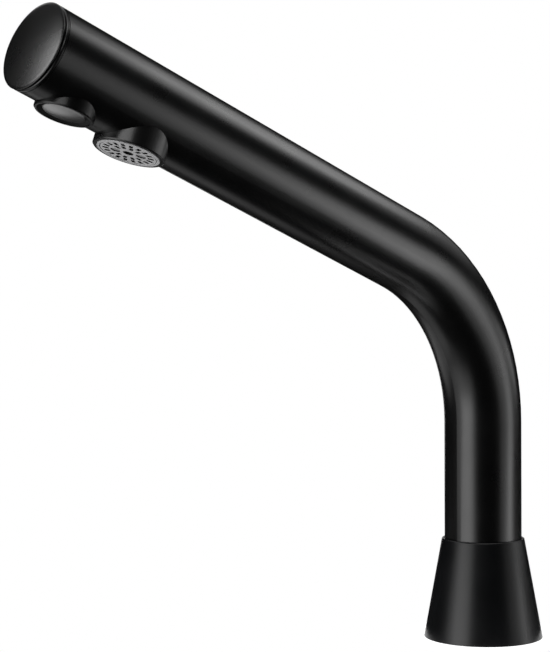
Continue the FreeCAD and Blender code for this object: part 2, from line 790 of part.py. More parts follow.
def make_sensor_front():
    """The window, the ring that holds it in and the gasket behind it."""
    seat = f"({SENSOR_SEAT} - fit_gap)"
    window_bore = "(lens_radius + fit_gap)"
    turned("sensor_bezel", facing_down(SENSOR_BACK, BEZEL_BACK), [
        (window_bore, "0"),
        (seat, "0"),
        (seat, "bezel_height"),
        (window_bore, "bezel_height - bezel_bevel"),
    ])
    face = f"({SENSOR_RIM} + lens_proud - {LENS_BACK})"
    turned("sensor_lens", facing_down(SENSOR_BACK, LENS_BACK), [
        ("0", "0"),
        ("lens_radius + lens_flange_width", "0"),
        ("lens_radius + lens_flange_width", "lens_flange_height"),
        ("lens_radius", "lens_flange_height"),
        ("lens_radius", f"{face} - lens_dome_radius + sqrt(lens_dome_radius ^ 2 - lens_radius ^ 2)",
         "lens_dome_radius"),
        ("0", face),
    ])
    ring("sensor_gasket", facing_down(SENSOR_BACK, f"{LENS_BACK} - sensor_gasket_height"),
         f"{seat} - sensor_gasket_width", seat, "sensor_gasket_height")


def make_sensor_housing():
    """A cup that hangs from its rim in the boss, with a turret on top for the two leads."""
    depth = f"({SENSOR_LEDGE} - {HOUSING_TOP})"
    bore = "(housing_radius - housing_wall)"
    ledge = f"({BOARD_BACK} - {HOUSING_TOP})"
    cup = turned("sensor_cup", facing_down(SENSOR_BACK, HOUSING_TOP), [
        ("0", "0"),
        ("housing_radius", "0"),
        ("housing_radius", depth),
        (f"{SENSOR_SEAT} - fit_gap", depth),
        (f"{SENSOR_SEAT} - fit_gap", f"{depth} + housing_rim_height"),
        (bore, f"{depth} + housing_rim_height"),
        (bore, ledge),
        (f"{bore} - board_ledge", ledge),
        (f"{bore} - board_ledge", "housing_wall"),
        ("0", "housing_wall"),
    ])
    turret_top = f"(-({LEAD_OUT} + lead_radius + turret_cover))"
    corner = facing_down(f"{SENSOR_BACK} + turret_length / 2", turret_top, "-turret_width / 2")
    turret = block("sensor_turret", corner, "turret_width", "turret_length",
                   f"{HOUSING_TOP} - {turret_top} + housing_wall / 2")
    joined("sensor_housing", cup, turret)


def make_sensor_board():
    bore = "(housing_radius - housing_wall)"
    ring("sensor_board", facing_down(SENSOR_BACK, BOARD_BACK), "0", f"{bore} - fit_gap", "board_thickness")
    for label, side in (("ir_emitter", "-"), ("ir_receiver", "+")):
        foot = f"{BOARD_BACK} + board_thickness"
        turned(label, facing_down(f"{SENSOR_BACK} {side} diode_spacing / 2", foot), [
            ("0", "0"),
            ("diode_radius + diode_flange", "0"),
            ("diode_radius + diode_flange", "diode_flange_height"),
            ("diode_radius", "diode_flange_height"),
            ("diode_radius", "diode_height - diode_radius", "diode_radius"),
            ("0", "diode_height"),
        ])


# Outlet, aerator and elbow

def make_outlet_boss():
    inner_end = NECK_TOP
    floor = f"({OUTLET_LEDGE} - {inner_end})"
    height = f"({OUTLET_RIM} - {inner_end})"
    stub = "(elbow_stub_radius + fit_gap)"
    bore = "(aerator_radius + fit_gap)"
    core = turned("outlet_boss_core", facing_down(OUTLET_BACK, inner_end), [
        (stub, "0"),
        ("neck_radius", "0"),
        ("neck_radius", f"{floor} - outlet_floor"),
        (OUTLET_SPIGOT, f"{floor} - outlet_floor"),
        (OUTLET_SPIGOT, height),
        (bore, height),
        (bore, floor),
        (stub, floor),
    ])
    inner_radius = f"(({OUTLET_SPIGOT} + {bore}) / 2)"
    saddled("outlet_boss", OUTLET_BACK, core, inner_end, inner_radius, "outlet_boss_radius", OUTLET_RIM)


def make_aerator():
    ring("aerator_gasket", facing_down(OUTLET_BACK, OUTLET_LEDGE), "aerator_radius - aerator_gasket_width",
         "aerator_radius", "aerator_gasket_height")
    length = f"({AERATOR_FACE} - {AERATOR_BACK})"
    turned("aerator_housing", facing_down(OUTLET_BACK, AERATOR_BACK), [
        (f"{AERATOR_BORE} - aerator_lip", "0"),
        ("aerator_radius", "0"),
        ("aerator_radius", length),
        (AERATOR_BORE, length),
        (AERATOR_BORE, "aerator_lip_height"),
        (f"{AERATOR_BORE} - aerator_lip", "aerator_lip_height"),
    ])
    inside = f"({AERATOR_BORE} - fit_gap)"
    screen = ring("aerator_filter", facing_down(OUTLET_BACK, FILTER_BACK), "0", inside, "filter_height")
    for index in range(1, SIZES["filter_ring_count"] + 1):
        round_holes(screen, f"filter_holes_{index}", f"{index} * filter_ring_step", "filter_hole_radius",
                    f"{index} * filter_hole_count")
    regulator_place = facing_down(OUTLET_BACK, REGULATOR_BACK)
    regulator = ring("flow_regulator", regulator_place, "0", inside, "regulator_height")
    round_holes(regulator, "regulator_holes", "regulator_hole_circle", "regulator_hole_radius",
                "regulator_hole_count")


def make_flow_straightener():
    """The slotted face of the outlet, with a centre hole and two shallow, round recesses for a key."""
    inside = f"({AERATOR_BORE} - fit_gap)"
    face = f"({AERATOR_BORE} - straightener_gap)"
    plate = turned("slotted_plate", facing_down(OUTLET_BACK, STRAIGHTENER_BACK), [
        ("centre_hole_radius", "0"),
        (inside, "0"),
        (inside, "straightener_height - straightener_face_height"),
        (face, "straightener_height - straightener_face_height"),
        (face, "straightener_height"),
        ("centre_hole_radius", "straightener_height"),
    ])
    slot, sketch = bar_cut(plate, "outer_slot", "outer_slot_circle", "slot_length", "slot_width",
                           "key_hole_turn")
    repeat(plate, slot, sketch, "outer_slot_count", f"{ROUND}")
    fan = "(inner_slot_count - 1) * inner_slot_pitch"
    for index, side in enumerate((QUARTER, 3 * QUARTER)):
        start = f"key_hole_turn + {side} - {fan} / 2"
        slot, sketch = bar_cut(plate, f"inner_slot_{index}", "inner_slot_circle", "slot_length",
                               "slot_width", start)
        repeat(plate, slot, sketch, "inner_slot_count", fan)
    keys = []
    for index, side in enumerate((1, -1)):
        along = f"({side} * key_hole_circle * sin(key_hole_turn))"
        across = f"({side} * key_hole_circle * cos(key_hole_turn))"
        floor = facing_down(f"{OUTLET_BACK} - {along}", f"{STRAIGHTENER_FACE} - key_hole_depth", across)
        keys.append(rod(f"key_hole_{index}", floor, "key_hole_radius", "2 * key_hole_depth"))
    cut_from("flow_straightener", plate, *keys)


def make_outlet_elbow():
    top = "(-elbow_rise)"
    shoulder = f"({NECK_TOP} + elbow_rise)"
    tip = f"({shoulder} + elbow_stub_length)"
    stub = "elbow_stub_radius"
    bore = "(elbow_stub_radius + fit_gap)"
    groove = f"({shoulder} + elbow_stub_length / 2)"
    body = turned("elbow_body", facing_down(OUTLET_BACK, top), [
        ("0", "0"),
        ("elbow_radius", "0"),
        ("elbow_radius", shoulder),
        (stub, shoulder),
        *shaft_groove(bore, "elbow_oring_wire", groove, stub),
        (stub, tip),
        ("0", tip),
    ])
    reach = "elbow_radius + barb_length"
    barb = rod("elbow_barb", facing_back(OUTLET_BACK), BARB_RADIUS, reach)
    along = rod("elbow_bore_along", facing_back(OUTLET_BACK), "waterway_radius", f"2 * ({reach})")
    down = rod("elbow_bore_down", facing_down(OUTLET_BACK, "-down_bore_radius"), "down_bore_radius",
               f"2 * ({reach})")
    cut_from("outlet_elbow", joined("elbow_blank", body, barb), along, down)
    ring_in_bore("elbow_oring", facing_down(OUTLET_BACK, f"{NECK_TOP} + elbow_stub_length / 2"), bore,
                 "elbow_oring_wire")


# Hose and leads inside the tube

def make_hose():
    bent_tube("water_hose", HOSE_START, f"spout_length - {HOSE_END}", "hose_radius", "hose_bore")
    bore = "(hose_radius + fit_gap)"
    outside = f"({bore} + ferrule_wall)"
    group("hose_ferrules", [
        ring("valve_ferrule", standing(f"{HOSE_START} + ferrule_setback"), bore, outside, "ferrule_length"),
        ring("outlet_ferrule", facing_back(f"{HOSE_END} + ferrule_setback"), bore, outside,
             "ferrule_length"),
    ])


LEAD_RUN = f"(spout_length - {SENSOR_BACK} - turret_length / 2)"
TERMINAL_TOP = f"({COIL_TOP} - yoke_top - fit_gap)"
SOCKET_TOP = "(gasket_thickness + socket_depth)"


def make_leads():
    bent_tube("power_lead", SOCKET_TOP, LEAD_RUN, "lead_radius", out=LEAD_OUT, x=f"-{LEAD_SIDE}")
    bent_tube("valve_lead", TERMINAL_TOP, LEAD_RUN, "lead_radius", out=LEAD_OUT, x=LEAD_SIDE)


# Solenoid valve

def make_valve_body():
    """A stub in the base, a collar on top of it, and a raised seat in the middle of a chamber."""
    collar = "stub_length"
    top = "(stub_length + valve_collar_height)"
    seat = f"({top} - seat_depth)"
    socket = "(core_radius + fit_gap)"
    floor = f"({top} - chamber_depth)"
    turned("valve_body", standing(STUB_BOTTOM), [
        ("stub_bore", "0"),
        (STUB_RADIUS, "0"),
        *shaft_groove("base_bore", "valve_oring_wire", "(stub_length / 2)", STUB_RADIUS),
        (STUB_RADIUS, collar),
        (COIL_RADIUS, collar),
        (COIL_RADIUS, top),
        (socket, top),
        *bore_groove("core_radius", "core_oring_wire", f"({top} - chamber_depth / 2)", socket),
        (socket, floor),
        (CORE_BORE, floor),
        (CORE_BORE, f"{seat} - seat_height"),
        ("orifice_radius + seat_width", f"{seat} - seat_height"),
        ("orifice_radius + seat_width", seat),
        ("orifice_radius", seat),
        ("orifice_radius", f"{seat} - seat_height - valve_floor"),
        ("stub_bore", f"{seat} - seat_height - valve_floor"),
    ])
    ring_in_bore("valve_oring", standing(f"{STUB_BOTTOM} + stub_length / 2"), "base_bore",
                 "valve_oring_wire")
    ring("core_tube", standing(CORE_BOTTOM), CORE_BORE, "core_radius", f"{CORE_TOP} - {CORE_BOTTOM}")
    ring_on_shaft("core_oring", standing(f"{COLLAR_TOP} - chamber_depth / 2"), "core_radius",
                  "core_oring_wire")


def make_plunger():
    """The sliding iron: a seal in its foot, a spring pocket in its head and grooves for the water."""
    radius = f"({CORE_BORE} - running_gap)"
    seal = "(plunger_seal_radius + fit_gap)"
    floor = "(plunger_length - spring_pocket_depth)"
    plunger = turned("plunger", standing(PLUNGER_BOTTOM), [
        (seal, "0"),
        (radius, "0"),
        (radius, "plunger_length"),
        ("spring_pocket_radius", "plunger_length"),
        ("spring_pocket_radius", floor),
        ("0", floor),
        ("0", "plunger_seal_height - plunger_seal_proud"),
        (seal, "plunger_seal_height - plunger_seal_proud"),
    ])
    groove, sketch = bar_cut(plunger, "plunger_groove", radius, "2 * plunger_groove", "plunger_groove", "0")
    repeat(plunger, groove, sketch, "plunger_groove_count", f"{ROUND}")
    ring("plunger_seal", standing(SEAT_TOP), "0", "plunger_seal_radius", "plunger_seal_height")
    spring("plunger_spring", standing(f"{PLUNGER_TOP} - spring_pocket_depth"), "plunger_spring_radius",
           "plunger_spring_wire", "spring_pocket_depth + pole_gap", "plunger_spring_turns")


def make_fixed_core():
    """The fixed pole in the core tube, with the hose barb on top."""
    pole = f"({CORE_BORE} - fit_gap)"
    shoulder = f"({CORE_TOP} - {POLE_BOTTOM})"
    top = f"(riser_height - barb_margin - {POLE_BOTTOM})"
    turned("fixed_core", standing(POLE_BOTTOM), [
        ("pole_bore", "0"),
        (pole, "0"),
        (pole, shoulder),
        ("core_radius", shoulder),
        ("core_radius", f"{shoulder} + pole_shoulder_height"),
        (BARB_RADIUS, f"{shoulder} + pole_shoulder_height"),
        (BARB_RADIUS, top),
        ("pole_bore", top),
    ])


def make_coil():
    """A wound bobbin in a steel can, held down on the valve by a nut on the core tube."""
    hole = "(core_radius + fit_gap)"
    hub = f"({hole} + bobbin_hub)"
    can_bore = f"({COIL_RADIUS} - yoke_wall)"
    flange = f"({can_bore} - fit_gap)"
    length = "(coil_height - yoke_top - fit_gap)"
    spool = turned("coil_spool", standing(COLLAR_TOP), [
        (hole, "0"),
        (flange, "0"),
        (flange, "bobbin_flange"),
        (hub, "bobbin_flange"),
        (hub, f"{length} - bobbin_flange"),
        (flange, f"{length} - bobbin_flange"),
        (flange, length),
        (hole, length),
    ])
    terminal_side = f"{LEAD_SIDE} - terminal_width / 2"
    terminal = block("coil_terminal", standing(f"{TERMINAL_TOP} - bobbin_flange", terminal_side, hub),
                     "terminal_width", f"{LEAD_OUT} + lead_radius - {hub}", "bobbin_flange")
    joined("coil_bobbin", spool, terminal)
    ring("coil_winding", standing(f"{COLLAR_TOP} + bobbin_flange + fit_gap"), f"{hub} + fit_gap",
         f"{flange} - winding_inset", f"{length} - 2 * bobbin_flange - 2 * fit_gap")
    can = turned("coil_can", standing(COLLAR_TOP), [
        (can_bore, "0"),
        (COIL_RADIUS, "0"),
        (COIL_RADIUS, "coil_height"),
        (hole, "coil_height"),
        (hole, "coil_height - yoke_top"),
        (can_bore, "coil_height - yoke_top"),
    ])
    notch = block("terminal_notch", standing(f"{TERMINAL_TOP} - bobbin_flange - terminal_gap",
                  f"{terminal_side} - terminal_gap", hub), "terminal_width + 2 * terminal_gap",
                  f"{LEAD_OUT} + lead_radius", "bobbin_flange + terminal_gap + fit_gap")
    cut_from("coil_yoke", can, notch)
    cut_from("coil_nut", hexagon("coil_nut_blank", standing(COIL_TOP), "coil_nut_radius", "coil_nut_height"),
             rod("coil_nut_bore", standing(COIL_TOP), hole, "coil_nut_height"))


# Base, its gasket, screws and cover

def stud_sides():
    return (("left", "-stud_offset"), ("right", "stud_offset"))


def make_base_flange():
    """A flange on the deck with a spigot up into the tube, bored for the valve and the inlet."""
    blank = turned("base_blank", standing("gasket_thickness"), [
        ("base_bore", "0"),
        (FLANGE_RADIUS, "0"),
        (FLANGE_RADIUS, "flange_thickness"),
        (SPIGOT_RADIUS, "flange_thickness"),
        (SPIGOT_RADIUS, "flange_thickness + spigot_height"),
        ("base_bore", "flange_thickness + spigot_height"),
    ])
    lead_hole = "(lead_radius + lead_gap)"
    side = f"-{LEAD_SIDE}"
    beside = standing("gasket_thickness", side, LEAD_OUT)
    tools = [
        rod("socket_hole", beside, "socket_radius + fit_gap", "socket_depth"),
        rod("lead_hole", beside, lead_hole, "flange_thickness + spigot_height"),
        block("lead_groove", standing(FLANGE_TOP, f"{side} - {lead_hole}", LEAD_OUT), f"2 * {lead_hole}",
              "tube_radius", "2 * spigot_height"),
    ]
    for name, x in stud_sides():
        tools.append(rod(f"stud_hole_{name}", standing("gasket_thickness", x),
                         "stud_radius - stud_thread_step + fit_gap", "stud_reach"))
    start = f"({SPIGOT_RADIUS} - tube_screw_depth - fit_gap)"
    for index, (turn, x, y, z) in enumerate(screw_places(SCREW_HEIGHT, start)):
        tools.append(radial_rod(f"base_screw_hole_{index}", turn, x, y, z, "tube_screw_radius + fit_gap",
                                "2 * tube_screw_depth"))
    cut_from("base_flange", blank, *tools)
    ring("base_gasket", standing("0"), "stud_offset + stud_radius + deck_hole_margin",
         f"{FLANGE_RADIUS} - gasket_inset", "gasket_thickness")


def make_tube_screws():
    """Button-head screws through the tube's wall into the spigot, under the cover."""
    start = f"({SPIGOT_RADIUS} - tube_screw_depth)"
    under_head = f"(tube_radius + fit_gap - {start})"
    head_top = f"{under_head} + tube_screw_head_height"
    screws = []
    for index, (turn, x, y, z) in enumerate(screw_places(SCREW_HEIGHT, start)):
        screw = turned(f"tube_screw_{index}", standing("0"), [
            ("0", "0"),
            ("tube_screw_radius", "0"),
            ("tube_screw_radius", under_head),
            ("tube_screw_head_radius", under_head),
            ("tube_screw_head_radius", f"{under_head} + tube_screw_head_height / 2"),
            ("tube_screw_head_radius - tube_screw_head_height / 2", head_top),
            ("tube_screw_key", head_top),
            ("tube_screw_key", under_head),
            ("0", under_head),
        ])
        screws.append(aimed(screw, turn, x, y, z))
    group("tube_screws", screws)


def make_cover_skirt():
    """A cone that slips over the riser, with a sealing ring in its upper land."""
    slope = "(skirt_flare / skirt_height)"
    foot = f"({SKIRT_TOP_RADIUS} + skirt_flare)"
    inside = f"({foot} - skirt_wall)"
    middle = "(skirt_height - skirt_land / 2)"
    skirt = turned("cover_skirt", standing("0"), [
        (inside, "0"),
        (foot, "0"),
        (SKIRT_TOP_RADIUS, "skirt_height"),
        (SKIRT_BORE, "skirt_height"),
        *bore_groove("tube_radius", "skirt_oring_wire", middle, SKIRT_BORE),
        (SKIRT_BORE, SKIRT_LAND_FOOT),
        (f"{inside} - {slope} * {SKIRT_LAND_FOOT}", SKIRT_LAND_FOOT),
    ])
    rounded(skirt, "skirt_edge_round", (SKIRT_TOP_RADIUS, "skirt_height"))
    ring_on_shaft("skirt_oring", standing(middle), "tube_radius", "skirt_oring_wire")


# Inlet and check valve

def make_inlet_nipple():
    """Screwed up into the base, with a pipe thread below and room for the check valve above."""
    thread = "inlet_thread_length"
    hex_top = "inlet_drop"
    top = f"({NIPPLE_TOP} - {NIPPLE_BOTTOM})"
    cartridge = f"({CHECK_BOTTOM} - {NIPPLE_BOTTOM})"
    stem = turned("nipple_stem", standing(NIPPLE_BOTTOM), [
        ("inlet_bore", "0"),
        ("inlet_thread_radius", "0"),
        ("inlet_thread_radius", thread),
        ("inlet_shank_radius", thread),
        ("inlet_shank_radius", hex_top),
        (STUB_RADIUS, hex_top),
        *shaft_groove("base_bore", "nipple_oring_wire", f"({top} - nipple_oring_depth)", STUB_RADIUS),
        (STUB_RADIUS, top),
        (CHECK_RADIUS, top),
        (CHECK_RADIUS, cartridge),
        ("inlet_bore", cartridge),
    ])
    hex_place = standing("gasket_thickness - inlet_hex_height")
    wrench = cut_from(
        "nipple_hex",
        hexagon("nipple_hex_blank", hex_place, "inlet_hex_radius", "inlet_hex_height"),
        rod("nipple_hex_bore", hex_place, "inlet_shank_radius - fit_gap", "inlet_hex_height"),
        rod("nipple_hex_room", standing(CHECK_BOTTOM), CHECK_RADIUS, "inlet_drop"),
    )
    joined("inlet_nipple", stem, wrench)
    ring_in_bore("nipple_oring", standing(f"{NIPPLE_TOP} - nipple_oring_depth"), "base_bore",
                 "nipple_oring_wire")


def make_inlet_strainer():
    """A slotted thimble in the mouth of the inlet."""
    rim = "(inlet_bore - fit_gap)"
    outside = f"({rim} - strainer_wall)"
    inside = f"({outside} - strainer_wall)"
    thimble = turned("strainer_thimble", standing(NIPPLE_BOTTOM), [
        (inside, "0"),
        (rim, "0"),
        (rim, "strainer_rim_height"),
        (outside, "strainer_rim_height"),
        (outside, "strainer_height"),
        ("0", "strainer_height"),
        ("0", "strainer_height - strainer_wall"),
        (inside, "strainer_height - strainer_wall"),
    ])
    tools = []
    for index in range(SIZES["strainer_slot_count"] // 2):
        turn = f"{index} * {ROUND} / strainer_slot_count"
        half = "strainer_slot_width / 2"
        x = f"-({rim}) * cos({turn}) + {half} * sin({turn})"
        y = f"-({rim}) * sin({turn}) - {half} * cos({turn})"
        foot = f"{NIPPLE_BOTTOM} + strainer_slot_margin"
        tools.append(block(f"strainer_slot_{index}", standing(foot, x, y, turn), f"2 * {rim}",
                           "strainer_slot_width", "strainer_height - 2 * strainer_slot_margin"))
    cut_from("inlet_strainer", thimble, *tools)


def make_check_valve():
    outside = f"({CHECK_RADIUS} - fit_gap)"
    cover = "(check_length - check_cover_height)"
    guide = "(poppet_stem_radius + running_gap)"
    barrel = ring("check_barrel", standing(CHECK_BOTTOM), "check_seat_radius", outside, "check_length")
    room = rod("check_room", standing(f"{CHECK_BOTTOM} + check_seat_height"), CHECK_BORE,
               f"{cover} - check_seat_height")
    lid = ring("check_lid", standing(CHECK_COVER), guide, f"{CHECK_BORE} + check_wall / 2",
               "check_cover_height")
    round_holes(lid, "check_ports", "check_port_circle", "check_port_radius", "check_port_count")
    joined("check_valve_body", cut_from("check_shell", barrel, room), lid)
    stem = f"({CHECK_COVER} - {POPPET_BOTTOM} + check_cover_height - check_inset)"
    nub = "(check_seal_height - fit_gap)"
    turned("check_poppet", standing(f"{POPPET_BOTTOM} - {nub}"), [
        ("0", "0"),
        ("poppet_nub_radius", "0"),
        ("poppet_nub_radius", nub),
        ("poppet_radius", nub),
        ("poppet_radius", f"{nub} + poppet_height"),
        ("poppet_stem_radius", f"{nub} + poppet_height"),
        ("poppet_stem_radius", f"{nub} + {stem}"),
        ("0", f"{nub} + {stem}"),
    ])
    ring("check_seal", standing(f"{POPPET_BOTTOM} - check_seal_height"), "poppet_nub_radius + fit_gap",
         "poppet_radius - check_seal_margin", "check_seal_height")
    spring("check_spring", standing(f"{POPPET_BOTTOM} + poppet_height"), "check_spring_radius",
           "check_spring_wire", f"{CHECK_COVER} - {POPPET_BOTTOM} - poppet_height", "check_spring_turns")


# Power socket and deck clamp

def make_power_socket():
    turned("power_socket", standing("gasket_thickness - socket_drop", f"-{LEAD_SIDE}", LEAD_OUT), [
        ("socket_bore", "0"),
        ("socket_radius + socket_collar", "0"),
        ("socket_radius + socket_collar", "socket_drop"),
        ("socket_radius", "socket_drop"),
        ("socket_radius", "socket_drop + socket_depth"),
        ("0", "socket_drop + socket_depth"),
        ("0", "socket_bore_depth"),
        ("socket_bore", "socket_bore_depth"),
    ])


def make_fixing_studs():
    """Two studs down through the deck, each with a plain shank where the deck is."""
    thread = "(stud_radius - stud_thread_step)"
    total = "(stud_length + stud_reach)"
    shank_top = f"({total} - stud_reach - stud_shank_top)"
    shank_foot = f"({shank_top} - stud_shank_length)"
    studs = []
    for name, x in stud_sides():
        studs.append(turned(f"stud_{name}", standing("gasket_thickness - stud_length", x), [
            ("0", "0"),
            (thread, "0"),
            (thread, shank_foot),
            ("stud_radius", shank_foot),
            ("stud_radius", shank_top),
            (thread, shank_top),
            (thread, total),
            ("0", total),
        ]))
    group("fixing_studs", studs)


def horseshoe(label, top, height, radius):
    """A slotted disc that slips round the inlet, with a hole for each stud."""
    foot = f"({top} - {height})"
    slot = "(inlet_thread_radius + clamp_clearance)"
    disc = rod(f"{label}_disc", standing(foot), radius, height)
    tools = [
        rod(f"{label}_slot_end", standing(foot), slot, height),
        block(f"{label}_slot", standing(foot, f"-{slot}"), f"2 * {slot}", radius, height),
    ]
    for name, x in stud_sides():
        tools.append(rod(f"{label}_hole_{name}", standing(foot, x), "stud_radius + clamp_clearance", height))
    return cut_from(label, disc, *tools)


def make_deck_clamp():
    horseshoe("clamp_washer", CLAMP_TOP, "clamp_washer_height", "(clamp_radius - clamp_washer_inset)")
    horseshoe("clamp_plate", PLATE_TOP, "clamp_plate_height", "clamp_radius")
    nuts = []
    for name, x in stud_sides():
        foot = f"{NUT_TOP} - stud_nut_height"
        blank = hexagon(f"stud_nut_{name}_blank", standing(foot, x, turn="stud_nut_turn"), "stud_nut_radius",
                        "stud_nut_height")
        bore = rod(f"stud_nut_{name}_bore", standing(foot, x), "stud_radius + fit_gap", "stud_nut_height")
        nuts.append(cut_from(f"stud_nut_{name}", blank, bore))
    group("stud_nuts", nuts)


PIECES = [
    "spout_tube", "end_cap", "cap_oring",
    "sensor_boss", "sensor_bezel", "sensor_lens", "sensor_gasket", "sensor_housing", "sensor_board",
    "ir_emitter", "ir_receiver",
    "outlet_boss", "aerator_gasket", "aerator_housing", "aerator_filter", "flow_regulator",
    "flow_straightener", "outlet_elbow", "elbow_oring", "water_hose", "hose_ferrules", "power_lead",
    "valve_lead",
    "valve_body", "valve_oring", "core_tube", "core_oring", "plunger", "plunger_seal", "plunger_spring",
    "fixed_core", "coil_bobbin", "coil_winding", "coil_yoke", "coil_nut",
    "base_flange", "base_gasket", "tube_screws", "cover_skirt", "skirt_oring",
    "inlet_nipple", "nipple_oring", "inlet_strainer", "check_valve_body", "check_poppet", "check_seal",
    "check_spring", "power_socket", "fixing_studs", "clamp_washer", "clamp_plate", "stud_nuts",
]


def check_document():
    """Stop on any object that failed and on any piece that isn't whole."""
    doc.recompute()
    for thing in doc.Objects:
        if {"Invalid", "Error"} & set(thing.State):
            raise ValueError(f"{thing.Label} failed: {thing.State}")
    pieces = {}
    for label in PIECES:
        found = doc.getObjectsByLabel(label)
        if len(found) != 1:
            raise ValueError(f"{len(found)} objects are called {label}")
        shape = found[0].Shape
        if shape.isNull() or not shape.isValid() or not shape.Solids:
            raise ValueError(f"{label} is not a whole solid")
        pieces[label] = shape
    return pieces


def main():
    make_spout_tube()
    make_end_cap()
    make_sensor_boss()
    make_sensor_front()
    make_sensor_housing()
    make_sensor_board()
    make_outlet_boss()
    make_aerator()
    make_flow_straightener()
    make_outlet_elbow()
    make_hose()
    make_leads()
    make_valve_body()
    make_plunger()
    make_fixed_core()
    make_coil()
    make_base_flange()
    make_tube_screws()
    make_cover_skirt()
    make_inlet_nipple()
    make_inlet_strainer()
    make_check_valve()
    make_power_socket()
    make_fixing_studs()
    make_deck_clamp()
    pieces = check_document()
    os.makedirs("parts", exist_ok=True)
    for label, shape in pieces.items():
        shape.exportStep(f"parts/{label}.step")
    print(f"{len(pieces)} pieces written")


main()
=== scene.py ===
"""Looks of the deck-mounted sensor tap: finishes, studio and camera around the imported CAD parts."""
import json
import math

import bmesh
import bpy
from mathutils import Euler, Matrix, Vector


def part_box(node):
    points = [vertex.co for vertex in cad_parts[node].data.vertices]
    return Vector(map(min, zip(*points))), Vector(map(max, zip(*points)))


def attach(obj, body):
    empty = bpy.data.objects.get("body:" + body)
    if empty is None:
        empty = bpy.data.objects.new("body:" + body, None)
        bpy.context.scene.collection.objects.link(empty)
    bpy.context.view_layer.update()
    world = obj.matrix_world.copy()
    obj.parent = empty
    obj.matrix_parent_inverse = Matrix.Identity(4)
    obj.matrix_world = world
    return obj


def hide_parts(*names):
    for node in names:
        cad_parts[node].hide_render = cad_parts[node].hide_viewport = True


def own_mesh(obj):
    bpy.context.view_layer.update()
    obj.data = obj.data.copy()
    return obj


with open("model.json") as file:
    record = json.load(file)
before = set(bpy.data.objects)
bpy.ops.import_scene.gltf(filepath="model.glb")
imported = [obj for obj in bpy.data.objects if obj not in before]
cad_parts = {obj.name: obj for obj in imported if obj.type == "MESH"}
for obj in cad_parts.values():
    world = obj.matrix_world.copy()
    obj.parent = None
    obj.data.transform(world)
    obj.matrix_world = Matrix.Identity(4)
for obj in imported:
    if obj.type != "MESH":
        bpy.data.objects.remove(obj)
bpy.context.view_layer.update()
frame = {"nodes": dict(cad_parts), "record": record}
scene = bpy.context.scene

# Camera, fitted to the tube's outlines: its place is in metres and its angles are in degrees.
# The image height and the focal length are in pixels, the sensor height in millimetres.
IMAGE_HEIGHT = 652
FOCAL_PIXELS = 1827.53
SENSOR_HEIGHT = 36.0
CLIP_START = 0.01
CAMERA_PLACE = Vector((0.54129, -0.60882, 0.16004))
CAMERA_TILT, CAMERA_ROLL, CAMERA_TURN = 88.46, 0.32, 48.111


def add_camera():
    """A camera that sees the tap from the photo's angle and distance."""
    data = bpy.data.cameras.new("camera")
    data.sensor_fit = "VERTICAL"
    data.sensor_height = SENSOR_HEIGHT
    data.lens = FOCAL_PIXELS * SENSOR_HEIGHT / IMAGE_HEIGHT
    data.clip_start = CLIP_START
    camera = bpy.data.objects.new("camera", data)
    scene.collection.objects.link(camera)
    angles = [math.radians(angle) for angle in (CAMERA_TILT, CAMERA_ROLL, CAMERA_TURN)]
    camera.matrix_world = Matrix.LocRotScale(CAMERA_PLACE, Euler(angles), None)
    scene.camera = camera


# Places on the tap, in millimetres as the CAD has them
MM = 0.001
SPOUT_TILT = math.radians(21.1)
RISER_HEIGHT = 95.4
BEND_RADIUS = 80.7
SPOUT_LENGTH = 200.9
ALONG_SPOUT = Vector((0, -math.cos(SPOUT_TILT), math.sin(SPOUT_TILT)))
DOWN_SPOUT = Vector((0, -math.sin(SPOUT_TILT), -math.cos(SPOUT_TILT)))
BEND_CENTRE = Vector((0, -BEND_RADIUS, RISER_HEIGHT))
SPOUT_TIP = BEND_CENTRE - DOWN_SPOUT * BEND_RADIUS + ALONG_SPOUT * SPOUT_LENGTH


# Materials; lengths in metres. The colour sockets of a mix node share their names with others,
# so they are found by number.
MIX_DARK, MIX_LIGHT, MIX_COLOUR = 6, 7, 2


